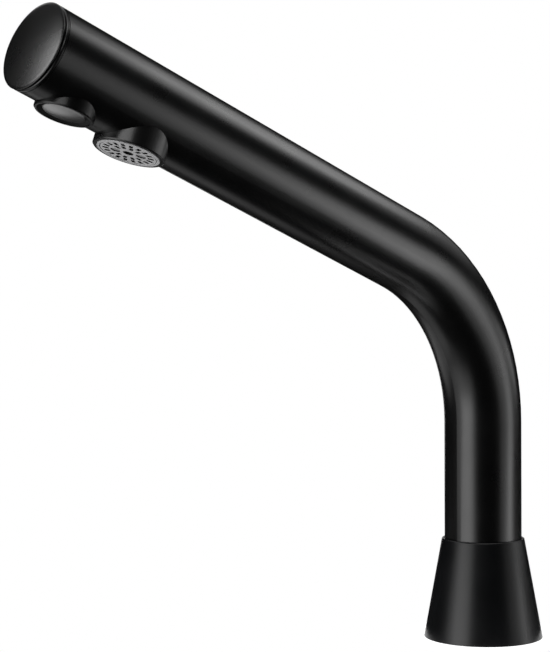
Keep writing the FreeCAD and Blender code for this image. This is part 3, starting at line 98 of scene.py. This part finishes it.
class Finish:
    """A procedural material: one shader, fed by textures in the object's own metres."""

    def __init__(self, name, metallic=0.0, ior=1.5, coat=0.0, coat_roughness=0.1, shine=0.5):
        self.material = bpy.data.materials.new(name)
        self.material.use_nodes = True
        self.tree = self.material.node_tree
        self.shader = self.tree.nodes["Principled BSDF"]
        self.shader.inputs["Metallic"].default_value = metallic
        self.shader.inputs["IOR"].default_value = ior
        self.shader.inputs["Coat Weight"].default_value = coat
        self.shader.inputs["Coat Roughness"].default_value = coat_roughness
        self.shader.inputs["Specular IOR Level"].default_value = shine
        self.place = self.tree.nodes.new("ShaderNodeTexCoord").outputs["Object"]

    def node(self, kind, **values):
        """A new node, with its sockets and settings given by name."""
        node = self.tree.nodes.new(kind)
        for name, value in values.items():
            socket = node.inputs.get(name.replace("_", " ").title())
            if socket is None:
                setattr(node, name, value)
            elif isinstance(value, bpy.types.NodeSocket):
                self.tree.links.new(value, socket)
            else:
                socket.default_value = value
        return node

    def noise(self, scale, detail=2.0, stretch=(1, 1, 1)):
        """A noise value whose features are about 1 / scale metres wide."""
        place = self.node("ShaderNodeMapping", vector=self.place, scale=stretch).outputs["Vector"]
        return self.node("ShaderNodeTexNoise", vector=place, scale=scale, detail=detail).outputs["Fac"]

    def span(self, value, low, high, start=0.3, end=0.7):
        """A value remapped from start and end to low and high."""
        node = self.node("ShaderNodeMapRange", value=value)
        node.inputs["From Min"].default_value = start
        node.inputs["From Max"].default_value = end
        node.inputs["To Min"].default_value = low
        node.inputs["To Max"].default_value = high
        return node.outputs["Result"]

    def calculate(self, operation, *values):
        """The result of a calculation on values and plain numbers."""
        node = self.node("ShaderNodeMath", operation=operation)
        for socket, value in zip(node.inputs, values):
            if isinstance(value, bpy.types.NodeSocket):
                self.tree.links.new(value, socket)
            else:
                socket.default_value = value
        return node.outputs[0]

    def mean(self, one, two):
        """The mean of two values."""
        return self.calculate("MULTIPLY", self.calculate("ADD", one, two), 0.5)

    def reach(self, vector, way):
        """How far a vector reaches in a direction."""
        node = self.node("ShaderNodeVectorMath", operation="DOT_PRODUCT")
        self.tree.links.new(vector, node.inputs[0])
        node.inputs[1].default_value = way
        return node.outputs["Value"]

    def colour(self, value, dark, light, start=0.3, end=0.7):
        """Mix two colours by a value, dark at start and light at end, into the base colour."""
        mix = self.tree.nodes.new("ShaderNodeMix")
        mix.data_type = "RGBA"
        mix.inputs[MIX_DARK].default_value = (*dark, 1)
        mix.inputs[MIX_LIGHT].default_value = (*light, 1)
        self.tree.links.new(self.span(value, 0, 1, start, end), mix.inputs[0])
        self.tree.links.new(mix.outputs[MIX_COLOUR], self.shader.inputs["Base Color"])

    def roughness(self, value, low, high):
        """Let a value set the roughness between two limits."""
        self.shader.inputs["Roughness"].default_value = (low + high) / 2
        self.tree.links.new(self.span(value, low, high), self.shader.inputs["Roughness"])

    def relief(self, value, depth):
        """Add a bump of about this depth in metres."""
        bump = self.node("ShaderNodeBump", height=value, strength=1.0, distance=depth)
        self.tree.links.new(bump.outputs["Normal"], self.shader.inputs["Normal"])


def coated_metal(name, shine=0.5):
    """Black coating, matt but even, with a fine grain."""
    finish = Finish(name, shine=shine)
    cloud = finish.noise(60)
    grain = finish.noise(2600, 3)
    finish.colour(cloud, (0.0014, 0.0014, 0.0015), (0.002, 0.002, 0.0021))
    finish.roughness(cloud, 0.27, 0.3)
    finish.relief(grain, 4e-6)
    return finish.material


def cover_metal():
    """The cover's black coating, a little bluer and duller than the tube's."""
    finish = Finish("cover_metal", shine=0.4)
    cloud = finish.noise(70)
    grain = finish.noise(2400, 3)
    finish.colour(cloud, (0.0024, 0.0026, 0.003), (0.0034, 0.0036, 0.0042))
    finish.roughness(cloud, 0.29, 0.32)
    finish.relief(grain, 4e-6)
    return finish.material


def lens_plastic():
    """Smoked window with a satin coating that mirrors well and lets infrared through."""
    finish = Finish("lens_plastic", ior=3.8, coat=1.0, coat_roughness=0.28)
    cloud = finish.noise(90)
    finish.colour(cloud, (0.0035, 0.003, 0.0035), (0.005, 0.0045, 0.005))
    finish.roughness(cloud, 0.28, 0.32)
    finish.relief(finish.noise(1400, 2), 1e-6)
    return finish.material


# Painted shade on the insert: how dark its recess floors get and over what depth, the share of random grime,
# and the levels at which its colour is darkest and palest.
SUNK_SHADE = 0.7
SUNK_DEPTH = 0.00045
GRIME_SHARE = 0.3
DARKEST_LEVEL = 0.5
PALEST_LEVEL = 1.25


def insert_plastic():
    """Pale grey plastic of the outlet's insert, with random grime, and painted shade that darkens its slot
    walls and recess floors.
    """
    finish = Finish("insert_plastic")
    grime = finish.noise(700, 3)
    # Painted shade: surfaces that turn away from down the spout are given a darker colour.
    facing_shade = finish.reach(finish.tree.nodes.new("ShaderNodeNewGeometry").outputs["Normal"], DOWN_SPOUT)
    height = finish.reach(finish.place, DOWN_SPOUT)
    face = max(point.co.dot(DOWN_SPOUT) for point in frame["nodes"]["flow_straightener"].data.vertices)
    # Painted shade: floors sunk below the insert's face are given a darker colour, down to SUNK_SHADE.
    recess_shade = finish.span(height, SUNK_SHADE, 1.0, face - SUNK_DEPTH, face)
    level = finish.calculate("MULTIPLY_ADD", grime, GRIME_SHARE, finish.calculate("MULTIPLY", facing_shade, recess_shade))
    finish.colour(level, (0.01, 0.01, 0.01), (0.74, 0.74, 0.75), DARKEST_LEVEL, PALEST_LEVEL)
    finish.roughness(grime, 0.34, 0.44)
    finish.relief(finish.noise(1500, 3), 6e-6)
    return finish.material


def moulded(name, dark, light, roughness, shine=0.5):
    """Moulded plastic: a fine spark-eroded grain, faint flow marks and uneven gloss."""
    finish = Finish(name, shine=shine)
    flow = finish.noise(140, 3, (1, 1, 0.3))
    finish.colour(flow, dark, light)
    finish.roughness(flow, roughness * 0.88, roughness * 1.12)
    finish.relief(finish.noise(1600, 3), 8e-6)
    return finish.material


def turned_metal(name, dark, light, roughness, marks=(0.03, 0.03, 1)):
    """Bare metal: marks of the tool along one direction, and clouds of tarnish."""
    finish = Finish(name, metallic=1.0)
    lines = finish.noise(3200, 2, marks)
    tarnish = finish.noise(160, 4)
    finish.colour(tarnish, dark, light)
    finish.roughness(finish.mean(tarnish, lines), roughness * 0.75, roughness * 1.3)
    finish.relief(lines, 5e-6)
    return finish.material


def soft_rubber():
    """Black rubber with a dusty bloom and a coarse, matt grain."""
    finish = Finish("rubber")
    bloom = finish.noise(260, 5)
    finish.colour(bloom, (0.009, 0.009, 0.009), (0.024, 0.024, 0.023))
    finish.roughness(bloom, 0.55, 0.72)
    finish.relief(finish.noise(1500, 4), 1.6e-5)
    return finish.material


def enamelled_copper():
    """Copper wire under a clear, slightly amber enamel."""
    finish = Finish("copper", metallic=1.0, coat=0.8, coat_roughness=0.12)
    shade = finish.noise(420, 3, (1, 1, 4))
    finish.colour(shade, (0.5, 0.2, 0.1), (0.78, 0.38, 0.2))
    finish.roughness(shade, 0.22, 0.36)
    finish.relief(finish.noise(2400, 2), 3e-6)
    return finish.material


def circuit_board():
    """Green solder mask over copper tracks, which show as paler lines."""
    finish = Finish("circuit_board", coat=0.3)
    cells = finish.node("ShaderNodeTexVoronoi", feature="DISTANCE_TO_EDGE", distance="CHEBYCHEV",
                        vector=finish.place, scale=520.0)
    tracks = finish.span(cells.outputs["Distance"], 1.0, 0.0, 0.05, 0.09)
    finish.colour(tracks, (0.012, 0.085, 0.034), (0.035, 0.19, 0.08), 0.0, 1.0)
    finish.roughness(finish.noise(300), 0.28, 0.4)
    finish.relief(tracks, 4.8e-6)
    return finish.material


def clear_resin(name, dark, light):
    """Cast resin of a diode: clear to tinted, very smooth."""
    finish = Finish(name, ior=1.56, coat=0.5, coat_roughness=0.04)
    shade = finish.noise(500, 2)
    finish.colour(shade, dark, light)
    finish.roughness(shade, 0.06, 0.12)
    return finish.material


def extruded(name, dark, light, roughness):
    """Extruded hose or jacket: a satin skin with fine streaks from the die."""
    finish = Finish(name)
    streaks = finish.noise(2200, 2, (1, 0.08, 0.08))
    haze = finish.noise(90, 3)
    finish.colour(haze, dark, light)
    finish.roughness(finish.mean(haze, streaks), roughness * 0.85, roughness * 1.15)
    finish.relief(streaks, 7e-6)
    return finish.material


FINISHES = {
    "coated_metal": coated_metal("coated_metal"),
    "cover_metal": cover_metal(),
    "lens_plastic": lens_plastic(),
    "black_plastic": moulded("black_plastic", (0.009, 0.009, 0.009), (0.013, 0.013, 0.013), 0.42),
    "grey_plastic": moulded("grey_plastic", (0.58, 0.58, 0.59), (0.66, 0.66, 0.67), 0.38),
    "white_plastic": moulded("white_plastic", (0.72, 0.72, 0.7), (0.8, 0.8, 0.78), 0.45),
    "rubber": soft_rubber(),
    "brass": turned_metal("brass", (0.56, 0.38, 0.16), (0.74, 0.55, 0.27), 0.27),
    "steel": turned_metal("steel", (0.44, 0.45, 0.46), (0.62, 0.62, 0.61), 0.3, (0.2, 0.2, 1)),
    "copper": enamelled_copper(),
    "circuit_board": circuit_board(),
    "clear_diode": clear_resin("clear_diode", (0.5, 0.55, 0.65), (0.58, 0.63, 0.73)),
    "dark_diode": clear_resin("dark_diode", (0.012, 0.008, 0.016), (0.02, 0.014, 0.026)),
    "hose_plastic": extruded("hose_plastic", (0.68, 0.68, 0.66), (0.78, 0.78, 0.76), 0.42),
    "lead_jacket": extruded("lead_jacket", (0.011, 0.011, 0.011), (0.02, 0.02, 0.02), 0.5),
}
OWN_FINISHES = {
    "outlet_boss": coated_metal("boss_metal", 0.9),
    "flow_straightener": insert_plastic(),
    "sensor_bezel": moulded("bezel_plastic", (0.002, 0.002, 0.002), (0.003, 0.003, 0.003), 0.5, 0.12),
}


def dress_nodes():
    """Give each CAD node its own finish, or else the finish of its material slot."""
    for part in frame["record"]["subparts"]:
        name = part["node"]
        for holder in frame["nodes"][name].material_slots:
            holder.material = OWN_FINISHES.get(name, FINISHES[part["material_slot"]])


# Pieces made here in place of their plain CAD nodes; sizes in millimetres, as the CAD has them
SHARP = math.radians(35)
HEX_SIDES = 6
HEX_SLOPE = math.tan(math.radians(30))
STUD_OFFSET = 14.0
CREST_FLATNESS = 1.2


def on_spout(back, drop, upwards):
    """A place on the spout, its Z axis pointing along the spout or square to it."""
    across = Vector((1, 0, 0))
    turn = Matrix((across, upwards.cross(across), upwards)).transposed().to_4x4()
    return Matrix.Translation(SPOUT_TIP - ALONG_SPOUT * back + DOWN_SPOUT * drop) @ turn


class Skin:
    """A mesh grown from rings of points round Z axes."""

    def __init__(self, segments):
        self.segments = segments
        self.points = []
        self.faces = []

    def ring(self, radius, height, middle):
        """Add a ring, or one point where the radius is nothing. The radius may depend on the angle."""
        first = len(self.points)
        count = 1 if radius == 0 else self.segments
        for step in range(count):
            angle = 2 * math.pi * step / self.segments
            reach = radius(angle) if callable(radius) else radius
            self.points.append((middle + reach * math.cos(angle), reach * math.sin(angle), height))
        return range(first, first + count)

    def bridge(self, lower, upper):
        """Join two rings, or a ring and a point, with faces."""
        if len(lower) == len(upper) == 1:
            return
        for step in range(self.segments):
            after = (step + 1) % self.segments
            corners = [lower[step % len(lower)], lower[after % len(lower)],
                       upper[after % len(upper)], upper[step % len(upper)]]
            self.faces.append(tuple(dict.fromkeys(corners)))

    def turn(self, outline, middle=0.0):
        """Sweep a closed outline of radii and heights round an axis."""
        rings = [self.ring(radius, height, middle) for radius, height in outline]
        for lower, upper in zip(rings, rings[1:] + rings[:1]):
            self.bridge(lower, upper)

    def piece(self, name, node, body, slot, place=None):
        """Make the mesh into a piece, as add_piece says."""
        mesh = bpy.data.meshes.new(name)
        mesh.from_pydata(self.points, [], self.faces)
        return add_piece(mesh, node, body, slot, place)


def add_piece(mesh, node, body, slot, place=None):
    """Scale a mesh in millimetres, put it in place of a CAD node and let it move with the node's body."""
    work = bmesh.new()
    work.from_mesh(mesh)
    bmesh.ops.recalc_face_normals(work, faces=work.faces)
    work.to_mesh(mesh)
    work.free()
    mesh.transform(Matrix.Scale(MM, 4) @ (place or Matrix()))
    mesh.polygons.foreach_set("use_smooth", [True] * len(mesh.polygons))
    mesh.set_sharp_from_angle(angle=SHARP)
    mesh.materials.append(FINISHES[slot])
    piece = bpy.data.objects.new(mesh.name, mesh)
    scene.collection.objects.link(piece)
    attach(piece, body)
    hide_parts(node)
    return piece


def softened(outline, amount, steps=4):
    """An outline with each corner rounded off by this much."""
    points = []
    for index, corner in enumerate(outline):
        corner = Vector(corner)
        before, after = Vector(outline[index - 1]), Vector(outline[(index + 1) % len(outline)])
        start = corner + (before - corner).normalized() * amount
        end = corner + (after - corner).normalized() * amount
        for step in range(steps + 1):
            share = step / steps
            points.append(tuple(start.lerp(corner, share).lerp(corner.lerp(end, share), share)))
    return points


def dome(front, curve, rim, steps=14):
    """Outline points over a shallow dome, from its rim to its middle."""
    radii = [rim * (1 - step / steps) for step in range(steps + 1)]
    return [(radius, front - curve + math.sqrt(curve ** 2 - radius ** 2)) for radius in radii]


def edge_round(corner, amount, steps=5):
    """Outline points round an upper outer corner."""
    turns = [math.pi / 2 * step / steps for step in range(steps)]
    radius, height = corner
    return [(radius - amount * (1 - math.cos(turn)), height - amount * (1 - math.sin(turn)))
            for turn in turns]


def thread(root, crest, pitch, height, foot, top):
    """The radius of a screw thread at a height, by the angle. It runs out at its foot and its top."""
    depth = (crest - root) * max(0.0, min(1.0, (height - foot) / pitch, (top - height) / pitch))

    def radius(angle):
        phase = (height / pitch - angle / (2 * math.pi)) % 1
        return root + depth * min(1.0, CREST_FLATNESS * (1 - abs(2 * phase - 1)))

    return radius


def thread_rows(root, crest, pitch, foot, top, steps=6):
    """Outline points up a screw thread."""
    count = round((top - foot) / pitch * steps)
    heights = [foot + (top - foot) * row / count for row in range(count + 1)]
    return [(thread(root, crest, pitch, height, foot, top), height) for height in heights]


def hex_rows(corner, foot, top, turn, bevel, rows=5):
    """Outline points up a hexagon whose corners are bevelled off at both ends."""
    flat = corner * math.cos(math.pi / HEX_SIDES)

    def side(limit):
        def radius(angle):
            side_angle = 2 * math.pi / HEX_SIDES
            from_middle = (angle - turn + side_angle / 2) % side_angle - side_angle / 2
            return min(limit, flat / math.cos(from_middle))
        return radius

    inset = corner - flat + bevel
    rise = [row / rows for row in range(rows + 1)]
    lower = [(side(corner - inset * (1 - part)), foot + part * inset * HEX_SLOPE) for part in rise]
    upper = [(side(corner - inset * part), top - (1 - part) * inset * HEX_SLOPE) for part in rise]
    return lower + upper


def levels(node):
    """A CAD node's lowest and highest level."""
    low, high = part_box(node)
    return low[2] / MM, high[2] / MM


def add_end_cap():
    """The cap: a thin domed disc, a shadow gap and a rounded ring on a plug with a groove."""
    plug, bore, rim, wall = 14.95, 11.45, 17.0, 16.7
    groove_floor, groove_low, groove_high = 13.46, 2.15, 3.85
    back, front, curve, edge = 6.0, 10.1, 110.0, 0.2
    ring_front, ring_round, gap_floor, disc_back = 7.6, 0.8, 16.1, 8.45
    shoulder = (rim, front - curve + math.sqrt(curve ** 2 - rim ** 2))
    outline = [(bore, 0), (plug, 0), (plug, groove_low), (groove_floor, groove_low),
               (groove_floor, groove_high), (plug, groove_high), (plug, back), (wall, back),
               (rim, back + rim - wall)]
    outline += edge_round((rim, ring_front), ring_round)
    outline += [(gap_floor, ring_front), (gap_floor, disc_back), (rim, disc_back)]
    outline += edge_round(shoulder, edge)
    outline += dome(front, curve, rim - edge)
    outline += [(0, back), (bore, back)]
    skin = Skin(160)
    skin.turn(outline)
    skin.piece("domed_end_cap", "end_cap", "tap", "coated_metal", on_spout(front, 0, ALONG_SPOUT))


def add_sensor_lens():
    """The sensor's window: a flange and a shallow dome."""
    flange, flange_top, rim, front, curve, edge = 9.7, 1.2, 8.3, 3.85, 36.0, 0.25
    back, drop = 21.8, 14.2
    shoulder = (rim, front - curve + math.sqrt(curve ** 2 - rim ** 2))
    outline = [(0, 0), (flange, 0), (flange, flange_top), (rim, flange_top)]
    outline += edge_round(shoulder, edge)
    outline += dome(front, curve, rim - edge)
    skin = Skin(96)
    skin.turn(outline)
    skin.piece("domed_sensor_lens", "sensor_lens", "tap", "lens_plastic", on_spout(back, drop, DOWN_SPOUT))


def add_studs():
    """Two studs, threaded below the shank for the clamp and above it for the base."""
    foot, top = levels("fixing_studs")
    shank_foot, shank_top = -14.0, -1.0
    shank, root, crest, hidden_crest, pitch, point = 3.0, 2.45, 2.94, 2.72, 1.0, 2.1
    outline = [(0, foot), (point, foot)]
    outline += thread_rows(root, crest, pitch, foot + root - point, shank_foot - pitch / 2)
    outline += [(shank, shank_foot), (shank, shank_top)]
    outline += thread_rows(root, hidden_crest, pitch, shank_top + pitch / 2, top)
    outline += [(0, top)]
    skin = Skin(30)
    skin.turn(outline, -STUD_OFFSET)
    skin.turn(outline, STUD_OFFSET)
    skin.piece("threaded_studs", "fixing_studs", "tap", "steel")


def add_nuts():
    """Two hexagon nuts with bevelled corners and countersunk bores."""
    foot, top = levels("stud_nuts")
    bore, mouth, corner, bevel = 3.05, 3.5, 5.75, 0.1
    outline = [(mouth, foot)]
    outline += hex_rows(corner, foot, top, 0.0, bevel)
    outline += [(mouth, top), (bore, top - mouth + bore), (bore, foot + mouth - bore)]
    skin = Skin(72)
    skin.turn(outline, -STUD_OFFSET)
    skin.turn(outline, STUD_OFFSET)
    skin.piece("bevelled_stud_nuts", "stud_nuts", "deck_clamp", "steel")


def add_inlet_nipple():
    foot, top = levels("inlet_nipple")
    bore, room, room_foot = 5.0, 6.45, -3.0
    root, crest, pitch, thread_top, lead_in = 7.45, 8.33, 1.337, -32.0, 7.4
    shank, hex_foot, hex_top, hex_corner, hex_bevel = 7.0, -4.0, 2.0, 9.2, 0.1
    stub, groove_floor, groove_low, groove_high = 8.95, 7.86, 7.35, 8.65
    outline = [(bore, foot), (lead_in, foot)]
    outline += thread_rows(root, crest, pitch, foot + pitch / 4, thread_top)
    outline += [(shank, thread_top), (shank, hex_foot)]
    outline += hex_rows(hex_corner, hex_foot, hex_top, math.pi / HEX_SIDES, hex_bevel)
    outline += [(stub, hex_top), (stub, groove_low), (groove_floor, groove_low),
                (groove_floor, groove_high), (stub, groove_high), (stub, top), (room, top),
                (room, room_foot), (bore, room_foot)]
    skin = Skin(96)
    skin.turn(outline)
    skin.piece("threaded_inlet_nipple", "inlet_nipple", "tap", "brass")


def add_winding():
    """The coil's winding, with a ridge for each turn of wire in its outer layer."""
    foot, top = levels("coil_winding")
    inner, outer, ridge, turns, steps = 7.0, 10.05, 0.14, 36, 4
    outline = [(inner, foot)]
    outline += thread_rows(outer - ridge, outer, (top - foot) / turns, foot, top, steps)
    outline += [(inner, top)]
    skin = Skin(64)
    skin.turn(outline)
    skin.piece("wound_coil", "coil_winding", "tap", "copper")


SPRING_STEPS = 24
SPRING_SIDES = 10


def add_spring(name, node, coil, wire, turns):
    """A wire spring, wound from the lowest to the highest level of its CAD node."""
    foot, top = levels(node)
    climb = (top - foot - 2 * wire) / (2 * math.pi * turns)
    skin = Skin(SPRING_SIDES)
    rings = []
    for step in range(SPRING_STEPS * turns + 1):
        angle = 2 * math.pi * step / SPRING_STEPS
        outwards = Vector((math.cos(angle), math.sin(angle), 0))
        onwards = Vector((-math.sin(angle), math.cos(angle), climb / coil)).normalized()
        across = onwards.cross(outwards)
        middle = outwards * coil + Vector((0, 0, foot + wire + climb * angle))
        rings.append(range(len(skin.points), len(skin.points) + SPRING_SIDES))
        for side in range(SPRING_SIDES):
            turn = 2 * math.pi * side / SPRING_SIDES
            skin.points.append(middle + wire * (outwards * math.cos(turn) + across * math.sin(turn)))
    for one, two in zip(rings, rings[1:]):
        skin.bridge(one, two)
    skin.faces += [tuple(rings[0]), tuple(rings[-1])]
    piece = skin.piece(name, node, "tap", "steel")
    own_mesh(piece)


def add_base_gasket():
    """The gasket under the base, with rounded edges."""
    foot, top = levels("base_gasket")
    inner, outer, edge = 17.6, 21.3, 0.4
    skin = Skin(128)
    skin.turn(softened([(inner, foot), (outer, foot), (outer, top), (inner, top)], edge))
    skin.piece("rounded_base_gasket", "base_gasket", "tap", "rubber")


def arc(radius, start, end, middle=0.0, step=0.06):
    """Points along an arc, its ends and steps given in radians."""
    count = max(2, round(abs(end - start) / step))
    angles = [start + (end - start) * index / count for index in range(count + 1)]
    return [(middle + radius * math.cos(angle), radius * math.sin(angle)) for angle in angles]


def add_horseshoe(name, node, slot, radius, edge):
    """A slotted disc with two stud holes and rounded edges."""
    foot, top = levels(node)
    slot_radius, hole_radius, hole_step = 8.63, 3.3, 0.2
    opening = math.acos(slot_radius / radius)
    outside = arc(radius, math.pi - opening, 2 * math.pi + opening)
    inside = arc(slot_radius, 2 * math.pi, math.pi)
    holes = [arc(hole_radius, 0, 2 * math.pi, side * STUD_OFFSET, hole_step)[:-1] for side in (-1, 1)]
    work = bmesh.new()
    for loop in [outside + inside] + holes:
        corners = [work.verts.new((x, y, foot)) for x, y in loop]
        for one, two in zip(corners, corners[1:] + corners[:1]):
            work.edges.new((one, two))
    bmesh.ops.triangle_fill(work, use_beauty=True, edges=work.edges[:])
    raised = bmesh.ops.extrude_face_region(work, geom=work.faces[:])["geom"]
    bmesh.ops.translate(work, vec=(0, 0, top - foot),
                        verts=[item for item in raised if isinstance(item, bmesh.types.BMVert)])
    bmesh.ops.recalc_face_normals(work, faces=work.faces)
    level = [item for item in work.edges if abs(item.verts[0].co.z - item.verts[1].co.z) < edge]
    rims = [item for item in level if item.calc_face_angle(0) > SHARP]
    bmesh.ops.bevel(work, geom=rims, offset=edge, segments=3, affect="EDGES", profile=0.5)
    mesh = bpy.data.meshes.new(name)
    work.to_mesh(mesh)
    work.free()
    add_piece(mesh, node, "deck_clamp", slot)


def add_pieces():
    """Make each piece that stands for a plain CAD node."""
    add_end_cap()
    add_sensor_lens()
    add_studs()
    add_nuts()
    add_inlet_nipple()
    add_winding()
    add_spring("wound_plunger_spring", "plunger_spring", coil=2.5, wire=0.3, turns=5)
    add_spring("wound_check_spring", "check_spring", coil=2.3, wire=0.3, turns=5)
    add_base_gasket()
    add_horseshoe("rounded_clamp_washer", "clamp_washer", "rubber", radius=23.0, edge=0.5)
    add_horseshoe("rounded_clamp_plate", "clamp_plate", "steel", radius=24.0, edge=0.3)


# Studio; lengths in metres, angles in degrees
FOCUS = Vector((0, -0.1, 0.13))
LAMP_DISTANCE = 1.0


def direction(azimuth, elevation):
    """The unit vector towards an azimuth, counted as the views count it, and an elevation, in degrees."""
    turn, rise = math.radians(azimuth), math.radians(elevation)
    return Vector((math.sin(turn) * math.cos(rise), -math.cos(turn) * math.cos(rise), math.sin(rise)))


def softbox(name, azimuth, elevation, across, tall, radiance):
    """A soft lamp that faces the tap: the angles it fills, in degrees, and the brightness of its front."""
    data = bpy.data.lights.new(name, "AREA")
    data.shape = "RECTANGLE"
    data.size = 2 * LAMP_DISTANCE * math.tan(math.radians(across / 2))
    data.size_y = 2 * LAMP_DISTANCE * math.tan(math.radians(tall / 2))
    data.energy = radiance * math.pi * data.size * data.size_y
    lamp = bpy.data.objects.new(name, data)
    scene.collection.objects.link(lamp)
    away = direction(azimuth, elevation)
    lamp.location = FOCUS + away * LAMP_DISTANCE
    lamp.rotation_euler = away.to_track_quat("Z", "Y").to_euler()


def add_lamps():
    """Soft lamps for the bands and patches that the photo shows: bright boxes, and wide fills round them."""
    softbox("front_softbox", -6, -9, 40, 34, 2.0)
    softbox("front_core", -7, -8, 26, 24, 0.7)
    softbox("front_fill", -10, -16, 62, 56, 0.9)
    softbox("low_front_fill", -38, -48, 50, 28, 0.3)
    softbox("cap_softbox", -31, 29, 22, 20, 5.8)
    softbox("boss_softbox", 27, 36, 46, 11, 2.7)
    softbox("side_softbox", 126, -18, 18, 15, 1.5)
    softbox("side_core", 134, -13, 16, 18, 1.1)
    softbox("high_side_softbox", 132, -8, 11, 9, 1.3)
    softbox("level_softbox", 142, -3, 12, 10, 1.2)
    softbox("far_level_softbox", 160, 1, 24, 6, 1.7)
    softbox("low_side_softbox", 154, -29, 50, 18, 2.4)
    softbox("low_back_fill", 168, -39, 34, 16, 0.6)
    softbox("side_fill", 124, -18, 46, 40, 0.8)
    softbox("back_softbox", 158, 40, 24, 18, 1.9)
    softbox("far_back_softbox", 178, 38, 24, 18, 1.5)
    softbox("back_fill", 176, 34, 44, 34, 0.34)
    softbox("under_fill", -85, -58, 50, 22, 0.5)
    softbox("lens_softbox", -86, -30, 34, 24, 0.64)
    softbox("top_softbox", 0, 85, 60, 50, 0.8)
    softbox("left_softbox", -102, 48, 30, 26, 2.0)
    softbox("right_softbox", 84, 64, 50, 20, 2.2)
    softbox("left_back_softbox", -157, -22, 18, 14, 1.0)


def seen_white(tree):
    """A value of 1 for the rays that see the background: camera, glossy and transmission rays."""
    path = tree.nodes.new("ShaderNodeLightPath")
    seen = path.outputs["Is Camera Ray"]
    for name in ("Is Glossy Ray", "Is Transmission Ray"):
        either = tree.nodes.new("ShaderNodeMath")
        either.operation = "MAXIMUM"
        tree.links.new(seen, either.inputs[0])
        tree.links.new(path.outputs[name], either.inputs[1])
        seen = either.outputs[0]
    return seen


def add_world():
    """A white background that lights nothing."""
    world = bpy.data.worlds.new("studio")
    world.use_nodes = True
    scene.world = world
    tree = world.node_tree
    background = tree.nodes["Background"]
    background.inputs["Color"].default_value = (1, 1, 1, 1)
    tree.links.new(seen_white(tree), background.inputs["Strength"])


TENT_RADIUS = 1.9
TENT_SEGMENTS = 48
TENT_RINGS = 24
TENT_OPENING_AZIMUTH = 228.0
TENT_OPENING_REACH = 9.0


def add_tent():
    """Black cards round the studio, out of the camera's sight, open behind the tap."""
    points, faces = [], []
    for ring in range(TENT_RINGS + 1):
        rise = -90 + 180 * ring / TENT_RINGS
        for step in range(TENT_SEGMENTS):
            points.append(FOCUS + direction(360 * step / TENT_SEGMENTS, rise) * TENT_RADIUS)
    for ring in range(TENT_RINGS):
        for step in range(TENT_SEGMENTS):
            middle = 360 * (step + 0.5) / TENT_SEGMENTS
            rise = -90 + 180 * (ring + 0.5) / TENT_RINGS
            if max(abs(middle - TENT_OPENING_AZIMUTH), abs(rise)) < TENT_OPENING_REACH:
                continue
            after = (step + 1) % TENT_SEGMENTS
            corner = ring * TENT_SEGMENTS
            faces.append((corner + step, corner + after, corner + TENT_SEGMENTS + after,
                          corner + TENT_SEGMENTS + step))
    mesh = bpy.data.meshes.new("black_cards")
    mesh.from_pydata(points, [], faces)
    cards = bpy.data.objects.new("black_cards", mesh)
    scene.collection.objects.link(cards)
    card = Finish("black_card")
    cloud = card.noise(20)
    card.colour(cloud, (0.002, 0.002, 0.002), (0.003, 0.003, 0.003))
    card.roughness(cloud, 0.88, 0.92)
    mesh.materials.append(card.material)
    cards.visible_camera = False


FLOOR_RADIUS = 0.04
FLOOR_SEGMENTS = 96
FLOOR_COLOUR = (0.7, 0.7, 0.7, 1)
FLOOR_GLOW = (0.82, 0.82, 0.82, 1)
FLOOR_ROUGHNESS = 0.9


def add_floor():
    """A small pale floor under the base, white to the camera and see-through from below."""
    mesh = bpy.data.meshes.new("floor")
    rim = [direction(360 * step / FLOOR_SEGMENTS, 0) * FLOOR_RADIUS for step in range(FLOOR_SEGMENTS)]
    mesh.from_pydata(rim, [], [tuple(range(FLOOR_SEGMENTS))])
    floor = bpy.data.objects.new("floor", mesh)
    scene.collection.objects.link(floor)
    material = bpy.data.materials.new("floor")
    material.use_nodes = True
    tree = material.node_tree
    shader = tree.nodes["Principled BSDF"]
    shader.inputs["Base Color"].default_value = FLOOR_COLOUR
    shader.inputs["Roughness"].default_value = FLOOR_ROUGHNESS
    shader.inputs["Specular IOR Level"].default_value = 0.0
    shader.inputs["Emission Color"].default_value = FLOOR_GLOW
    tree.links.new(seen_white(tree), shader.inputs["Emission Strength"])
    mix = tree.nodes.new("ShaderNodeMixShader")
    tree.links.new(tree.nodes.new("ShaderNodeNewGeometry").outputs["Backfacing"], mix.inputs[0])
    tree.links.new(shader.outputs["BSDF"], mix.inputs[1])
    tree.links.new(tree.nodes.new("ShaderNodeBsdfTransparent").outputs["BSDF"], mix.inputs[2])
    tree.links.new(mix.outputs["Shader"], tree.nodes["Material Output"].inputs["Surface"])
    mesh.materials.append(material)


add_camera()
dress_nodes()
add_pieces()
add_lamps()
add_world()
add_tent()
add_floor()
scene.view_settings.view_transform = "Standard"
